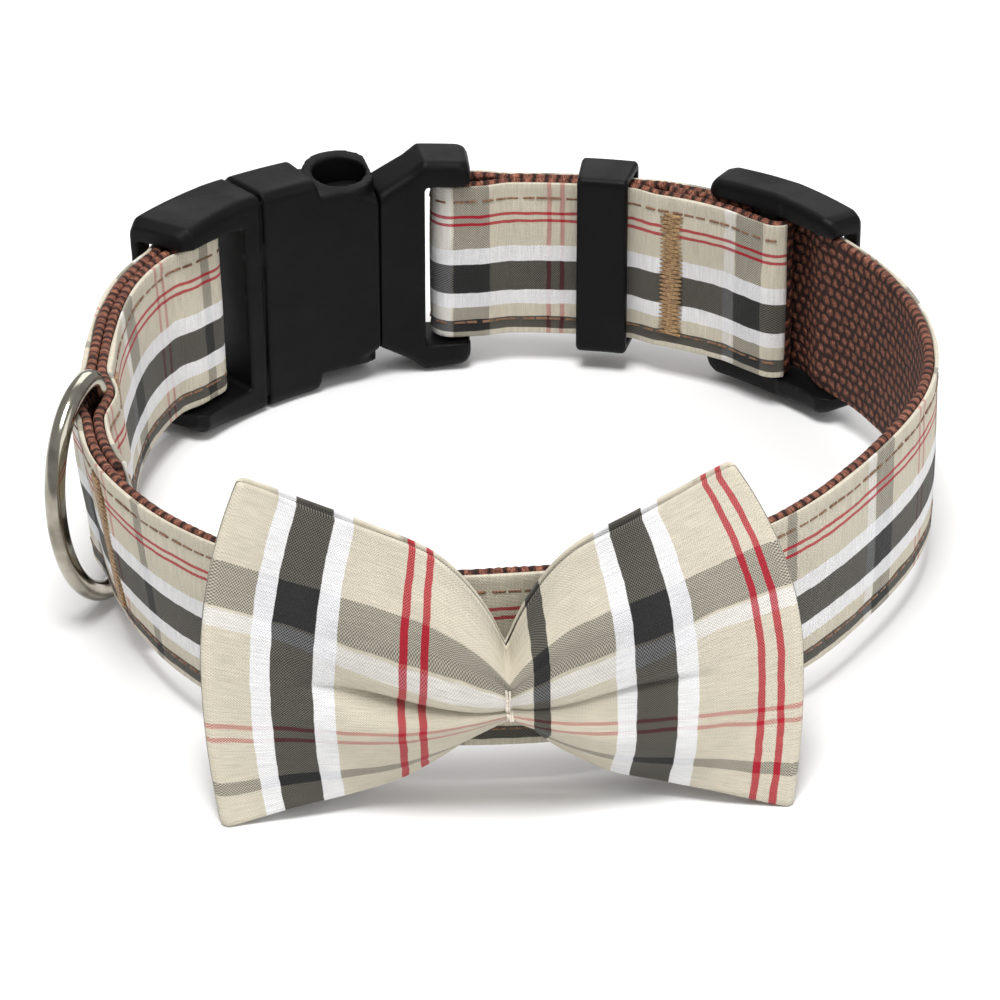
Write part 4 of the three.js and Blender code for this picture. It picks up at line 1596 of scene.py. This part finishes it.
@dataclass
class LeashRing(Fitting):
    """The bent wire D-ring."""

    joint: dict
    height: float = 27.6 * MM
    depth: float = 13.2 * MM
    corner: float = 3 * MM
    swing: float = 64.0
    end_gap: float = 0.5 * MM
    round_handle: float = 0.5523
    bar_steps: int = 14
    bend_steps: int = 10
    arc_steps: int = 40
    sides: int = 20

    def half_path(self) -> list[Vector]:
        """The wire's middle from its upper end to the tip, in the ring's own plane."""
        wire, steps = self.sizes.ring_wire, self.bar_steps
        half = self.height / 2 + wire / 2
        reach = self.depth + wire
        low, high = self.end_gap / 2, half - self.corner
        points = [Vector((0, 0, mix(low, high, i / steps))) for i in range(steps)]
        bend = [Vector((0, 0, half - self.corner)), Vector((0, 0, half)), Vector((self.corner, 0, half))]
        for i in range(self.bend_steps):
            t = i / self.bend_steps
            points.append(bend[0] * (1 - t) ** 2 + bend[1] * 2 * t * (1 - t) + bend[2] * t * t)
        k = self.round_handle
        arc = [
            bend[2],
            Vector((self.corner + k * (reach - self.corner), 0, half)),
            Vector((reach, 0, k * half)),
            Vector((reach, 0, 0)),
        ]
        for i in range(self.arc_steps + 1):
            t = i / self.arc_steps
            weights = ((1 - t) ** 3, 3 * t * (1 - t) ** 2, 3 * t * t * (1 - t), t**3)
            points.append(sum((p * w for p, w in zip(arc, weights)), Vector()))
        return points

    def build(self) -> None:
        """Builds and dresses the ring."""
        upper = self.half_path()
        path = upper + [Vector((p.x, 0, -p.z)) for p in reversed(upper[:-1])]
        axis = Vector(self.joint["axis"]).normalized()
        outward = self.line.frame(self.strap.ring)[1].cross(axis).normalized()
        reach = Matrix.Rotation(math.radians(self.swing), 3, axis) @ outward
        turn = Matrix((reach, axis.cross(reach), axis)).transposed()
        middle = Vector(self.joint["pos_m"])
        radius = self.sizes.ring_wire / 2

        def place(i: int, j: int) -> Vector:
            """Where a corner of the wire's skin goes."""
            before, after = path[max(i - 1, 0)], path[min(i + 1, len(path) - 1)]
            heading = (after - before).normalized()
            side = Vector((heading.z, 0, -heading.x))
            angle = 2 * math.pi * (j % self.sides) / self.sides
            flat = path[i] + side * radius * math.cos(angle) + Vector((0, radius * math.sin(angle), 0))
            return middle + turn @ flat

        ring = shaped_grid("leash_d_ring", (len(path) - 1, self.sides), place)
        settle(ring, Body.RING, Slot.METAL, self.finish, "d_ring")


@dataclass(frozen=True)
class WingRow:
    """A section of one wing, as shares of the tip's sizes."""

    reach: float
    top: float
    foot: float
    lean: float
    sweep: float
    ridge: float
    fullness: float


@dataclass
class Bow(Fitting):
    """The bow: one strip of cloth folded flat, pinched in the middle and sewn."""

    span: float = 74 * MM
    tip_top: float = 23.6 * MM
    stand: float = 17 * MM
    wall: float = 1.0 * MM
    shift: float = -2.2 * MM
    yaw: float = 4.0
    rest: float = 0.7 * MM
    tip_lean: float = 29.0
    tip_sweep: float = 4.5 * MM
    top_bulge: tuple[float, float] = (0.14, 0.21)
    foot_bulge: float = 0.05
    gap: float = 0.5 * MM
    ridge: float = 2.7 * MM
    back_ridge: float = 0.5
    fullness: float = 1.3 * MM
    crease_reach: float = 0.75
    crease_depth: float = 5 * MM
    crease_widths: tuple[float, float] = (0.12, 0.045)
    overhang: float = 8.5 * MM
    overhang_width: float = 0.42
    cloth_share: float = 0.85
    edge_round: float = 0.3 * MM
    inset: float = 0.012
    tip_share: float = 0.02
    flat_half: float = 21.5
    flat_shift: float = 7
    strands: int = 6
    strand_radius: float = 0.12 * MM
    strand_steps: int = 30
    strand_sides: int = 8
    strand_reach: float = 0.01
    rows: tuple[WingRow, ...] = (
        WingRow(0.0, 0.19, 0.22, 0.0, 0.0, 0.92, 0.15),
        WingRow(0.07, 0.4, 0.33, 0.0, 0.0, 1.0, 0.3),
        WingRow(0.17, 0.6, 0.48, 0.02, 0.0, 0.98, 0.5),
        WingRow(0.27, 0.73, 0.59, 0.05, 0.0, 0.9, 0.7),
        WingRow(0.38, 0.81, 0.68, 0.11, 0.0, 0.75, 0.85),
        WingRow(0.56, 0.89, 0.75, 0.27, 0.05, 0.45, 1.0),
        WingRow(0.78, 0.95, 0.84, 0.62, 0.34, 0.15, 0.75),
        WingRow(1.0, 1.0, 1.0, 1.0, 1.0, 0.0, 0.3),
    )
    reach_steps: int = 70
    across_steps: int = 64
    edge_steps: int = 4
    tip_steps: int = 8

    def value(self, column: str, reach: float) -> float:
        """A smooth value between the wing's rows.

        Args:
            column: the row's field.
            reach: from 0 at the pinch to 1 at the tip.

        Returns:
            The value there.
        """
        rows = self.rows
        last = len(rows) - 1
        index = min(max(i for i, row in enumerate(rows) if row.reach <= reach + 1e-9), last - 1)
        picked = [rows[min(max(index + step, 0), last)] for step in (-1, 0, 1, 2)]
        spots = [row.reach for row in picked]
        values = [getattr(row, column) for row in picked]
        span = spots[2] - spots[1]
        start = (values[2] - values[0]) / ((spots[2] - spots[0]) or 1) * span
        end = (values[3] - values[1]) / ((spots[3] - spots[1]) or 1) * span
        part = (reach - spots[1]) / span
        rise = values[2] - values[1]
        bend = part**2 * (3 * rise - 2 * start - end)
        return values[1] + part * start + bend + part**3 * (start + end - 2 * rise)

    def spot(self, side: int, reach: float, across: float) -> tuple[Vector, float, float]:
        """A point of the bow's middle surface.

        Args:
            side: 1 for the right wing, -1 for the left.
            reach: from 0 at the pinch to 1 at the tip.
            across: from -1 at the foot to 1 at the top.

        Returns:
            The point in the bow's own frame, the fold in front of it and half the layers' distance.
        """
        foot = self.stand / math.cos(math.radians(self.tip_lean))
        column, size = ("top", self.tip_top) if across > 0 else ("foot", foot)
        edge = size * self.value(column, reach)
        lean = math.radians(self.tip_lean) * self.value("lean", reach)
        bulge = (self.top_bulge[side > 0] if across > 0 else self.foot_bulge) * across**2
        point = Vector(
            (
                side * reach * self.span / 2 * (1 - bulge),
                self.value("sweep", reach) * self.tip_sweep + across * edge * math.sin(lean),
                across * edge * math.cos(lean),
            )
        )
        fold = self.value("ridge", reach) * self.ridge * math.sin(math.pi * across) ** 2
        fullness = self.value("fullness", reach) * self.fullness * (1 - 0.6 * across**2)
        return point, fold, (self.gap + fullness) / 2

    def crease(self, reach: float, across: float) -> tuple[float, float]:
        """The sharp valley along the middle of a wing, under the upper ridge.

        Args:
            reach: from 0 at the pinch to 1 at the tip.
            across: from -1 at the foot to 1 at the top.

        Returns:
            How far the front stands forward beyond the even fold, and how far it hangs down.
        """
        valley = max(0.0, 1 - reach / self.crease_reach)
        steep = 1 - math.exp(-abs(across) / self.crease_widths[across > 0])
        forward = valley * self.crease_depth * steep * (1 - across**2)
        hang = valley * self.overhang * self.value("top", reach)
        width = self.overhang_width
        over = hang * math.sin(math.pi * across / width) if 0 < across < width else 0.0
        return forward, over

    def pleats(self, side: int, reach: float, across: float) -> float:
        """Small gathers that run out of the pinch, and the cloth's slight unevenness.

        Args:
            side: 1 for the right wing, -1 for the left.
            reach: from 0 at the pinch to 1 at the tip.
            across: from -1 at the foot to 1 at the top.

        Returns:
            How far the front stands forward.
        """
        fade = math.exp(-((reach / 0.3) ** 2))
        gathers = 0.4 * MM * fade * math.sin(across * math.pi * 4.3 + side * 0.9)
        radial = 0.5 * MM * math.sin(across * 10 + side * 2.1) * math.sin(math.pi * min(reach / 0.8, 1))
        roll = 0.8 * MM * math.sin(reach * 9 + across * 2.1 + side) * reach * (1 - reach)
        return gathers + radial * (1 - across**2) + roll

    def build(self) -> None:
        """Builds and dresses the bow and its middle thread."""
        stations = [i / self.reach_steps for i in range(self.reach_steps + 1)]
        path = [(-1, reach, 0.0) for reach in reversed(stations)]
        path += [(1, reach, 0.0) for reach in stations[1:]]
        path += [(1, 1.0, math.pi * i / self.tip_steps) for i in range(1, self.tip_steps)]
        path += [(1, reach, math.pi) for reach in reversed(stations)]
        path += [(-1, reach, math.pi) for reach in stations[1:]]
        path += [(-1, 1.0, math.pi * (1 - i / self.tip_steps)) for i in range(1, self.tip_steps)]
        path.append(path[0])
        _, pinch_fold, pinch_apart = self.spot(1, 0, 0.5)
        back = pinch_apart + self.wall + pinch_fold * self.back_ridge + self.rest
        origin = self.line.place(self.shift, self.sizes.close_line + self.sizes.cover_to + back, 0)
        turn = Matrix.Rotation(math.radians(self.yaw), 3, "Z")
        count = 2 * (self.across_steps + self.edge_steps)
        thick = self.cloth_share * self.wall

        def section(j: int) -> tuple[float, float, float]:
            """Across, the depth from 0 inside to 1 outside, and the rounded edge's reach past it."""
            across, depth, past = round_strip(j, self.across_steps, self.edge_steps)
            return -across, depth, past

        def place(i: int, j: int) -> Vector:
            """Where a corner of the cloth goes."""
            side, reach, around = path[i]
            across, depth, past = section(j)
            point, fold, apart = self.spot(side, reach, across * (1 - self.inset))
            front = math.cos(around)
            fold *= 1 if around < math.pi / 2 else -self.back_ridge
            if around < math.pi / 2:
                forward, over = self.crease(reach, across)
                fold += self.pleats(side, reach, across) + forward
                point.z -= over
            out = apart + thick * depth
            above = math.copysign(past, across) * self.edge_round
            shift = Vector((side * out * math.sin(around), -out * front - fold, above))
            return origin + turn @ (point + shift)

        def uv(i: int, j: int) -> tuple[float, float]:
            """Millimetres on the flat cloth, from its middle."""
            side, reach, around = path[i]
            along = side * (reach + math.sin(around) * self.tip_share) * self.span / 2
            shift = 0 if around < math.pi / 2 else self.flat_shift
            return along / MM, section(j)[0] * self.flat_half + shift

        cloth = shaped_grid("bow_cloth", (len(path) - 1, count), place, uv)
        settle(cloth, Body.COLLAR, Slot.CLOTH, self.finish, "bow")
        self.middle_thread(origin, turn)

    def middle_thread(self, origin: Vector, turn: Matrix) -> None:
        """The white stitches that hold the pinch.

        Args:
            origin: the bow's middle.
            turn: the bow's turn.
        """
        chooser = random.Random(4)
        white = Thread("white_thread", srgb(232, 226, 214), srgb(196, 184, 166)).build()
        threads = []
        radius, steps = self.strand_radius, self.strand_steps
        sides, near = self.strand_sides, self.strand_reach
        for _ in range(self.strands):
            start = chooser.uniform(-0.5, 0.1) * MM
            lean = chooser.uniform(0.1, 0.6) * MM
            high = chooser.uniform(0.25, 0.5)
            low = chooser.uniform(-0.75, -0.5)

            def middle(t: float) -> Vector:
                """A point of the thread, over the front of the pinch from top to foot."""
                across = mix(high, low, t)
                side = 1 if start + lean * t > 0 else -1
                _, fold, apart = self.spot(side, near, across)
                forward, over = self.crease(near, across)
                cloth = self.wall * self.cloth_share
                front = apart + cloth + fold + self.pleats(side, near, across) + forward
                height = self.spot(1, 0.0, across)[0].z - over
                return Vector((start + lean * t, -front - radius * 0.6, height))

            def place(i: int, j: int) -> Vector:
                """Where a corner of the thread's skin goes."""
                t = i / steps
                heading = (middle(min(t + 0.02, 1)) - middle(max(t - 0.02, 0))).normalized()
                side = heading.cross(Vector((1, 0, 0))).normalized()
                angle = 2 * math.pi * (j % sides) / sides
                ring = Vector((1, 0, 0)) * math.cos(angle) + side * math.sin(angle)
                return origin + turn @ (middle(t) + ring * radius)

            threads.append(shaped_grid("thread", (steps, sides), place))
        settle(joined(threads, "pinch_thread"), Body.COLLAR, Slot.CLOTH, white)


@dataclass(frozen=True)
class Studio:
    """The floor, the lights and the camera."""

    target: Vector = field(default_factory=lambda: Vector((-0.448, -12.995, 17)) * MM)
    elevation: float = 28.0
    distance: float = 0.673
    lens: float = 180.5
    sensor: float = 36.0
    floor_color: Color = (0.9, 0.9, 0.9)
    floor_size: float = 3.0
    floor_drop: float = 0.2 * MM
    white_strength: float = 0.42

    def _floor(self) -> None:
        """A wide pale floor."""
        bm = bmesh.new()
        bmesh.ops.create_grid(bm, x_segments=1, y_segments=1, size=self.floor_size)
        floor = finished(bm, "floor")
        floor.location.z = -self.floor_drop
        board = NodeBoard("floor", 0.9)
        cloud = board.noise(board.object_place(), 3, 2)
        warm = tuple(value * 0.985 for value in self.floor_color)
        board.feed("Base Color", board.blend(board.remap(cloud, 0.3, 0.7), self.floor_color, warm))
        floor.data.materials.append(board.material)

    def _lamp(self, name: str, place: Vector, size: float, power: float) -> None:
        """One square lamp aimed at the collar.

        Args:
            name: its name.
            place: where it stands.
            size: its side.
            power: its power in watts.
        """
        data = bpy.data.lights.new(name, "AREA")
        data.shape = "SQUARE"
        data.size = size
        data.energy = power
        lamp = bpy.data.objects.new(name, data)
        lamp.location = place
        lamp.rotation_euler = (self.target - place).to_track_quat("-Z", "Y").to_euler()
        bpy.context.scene.collection.objects.link(lamp)

    def _camera(self) -> None:
        """The camera at the photograph's angle."""
        rise = math.radians(self.elevation)
        data = bpy.data.cameras.new("camera")
        data.lens = self.lens
        data.sensor_width = self.sensor
        camera = bpy.data.objects.new("camera", data)
        camera.location = self.target + Vector((0, -math.cos(rise), math.sin(rise))) * self.distance
        camera.rotation_euler = (math.pi / 2 - rise, 0, 0)
        bpy.context.scene.collection.objects.link(camera)
        bpy.context.scene.camera = camera

    def build(self) -> None:
        """Sets up the studio."""
        self._camera()
        self._floor()
        for name, place, size, power in (
            ("key", (-0.1, -0.3, 1.15), 0.5, 13),
            ("fill", (0.9, -0.7, 0.6), 1.0, 4.5),
            ("back", (0.1, 0.9, 0.9), 0.8, 4.5),
        ):
            self._lamp(name, Vector(place), size, power)
        world = bpy.data.worlds.new("studio")
        bpy.context.scene.world = world
        world.use_nodes = True
        background = world.node_tree.nodes["Background"]
        background.inputs["Color"].default_value = (1, 1, 1, 1)
        background.inputs["Strength"].default_value = self.white_strength
        bpy.context.scene.view_settings.view_transform = "Standard"


def middle_of(points: Sequence[Sequence[float]]) -> list[float]:
    """The middle of the box round some points."""
    spread = [[point[axis] for point in points] for axis in range(3)]
    return [(min(values) + max(values)) / 2 for values in spread]


def main() -> None:
    """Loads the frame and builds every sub-assembly round it."""
    logging.basicConfig(level=logging.INFO, format="%(name)s: %(message)s")
    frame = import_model()
    Studio().build()
    sizes = StrapSizes()
    flat = Strap(LoopLine(middle=Vector((0, 0, 0))), sizes)
    corners = [flat.line.place(along, out, 0) for along, out in flat.route]
    middle = Vector([there - here for there, here in zip(middle_of(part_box("webbing")), middle_of(corners))])
    line = LoopLine(middle=middle)
    strap = Strap(line, sizes)
    log.info("loop's middle at %s, length %.1f mm", [round(v / MM, 2) for v in middle], line.length / MM)
    plastic = MouldedPlastic().build()
    strap.build()
    for fitting in (Buckle, Keeper, Slider):
        fitting(strap, plastic).build()
    LeashRing(strap, NickelWire().build(), frame["joints"][0]).build()
    Bow(strap, BOW_CHECK.build()).build()


if __name__ == "__main__":
    main()
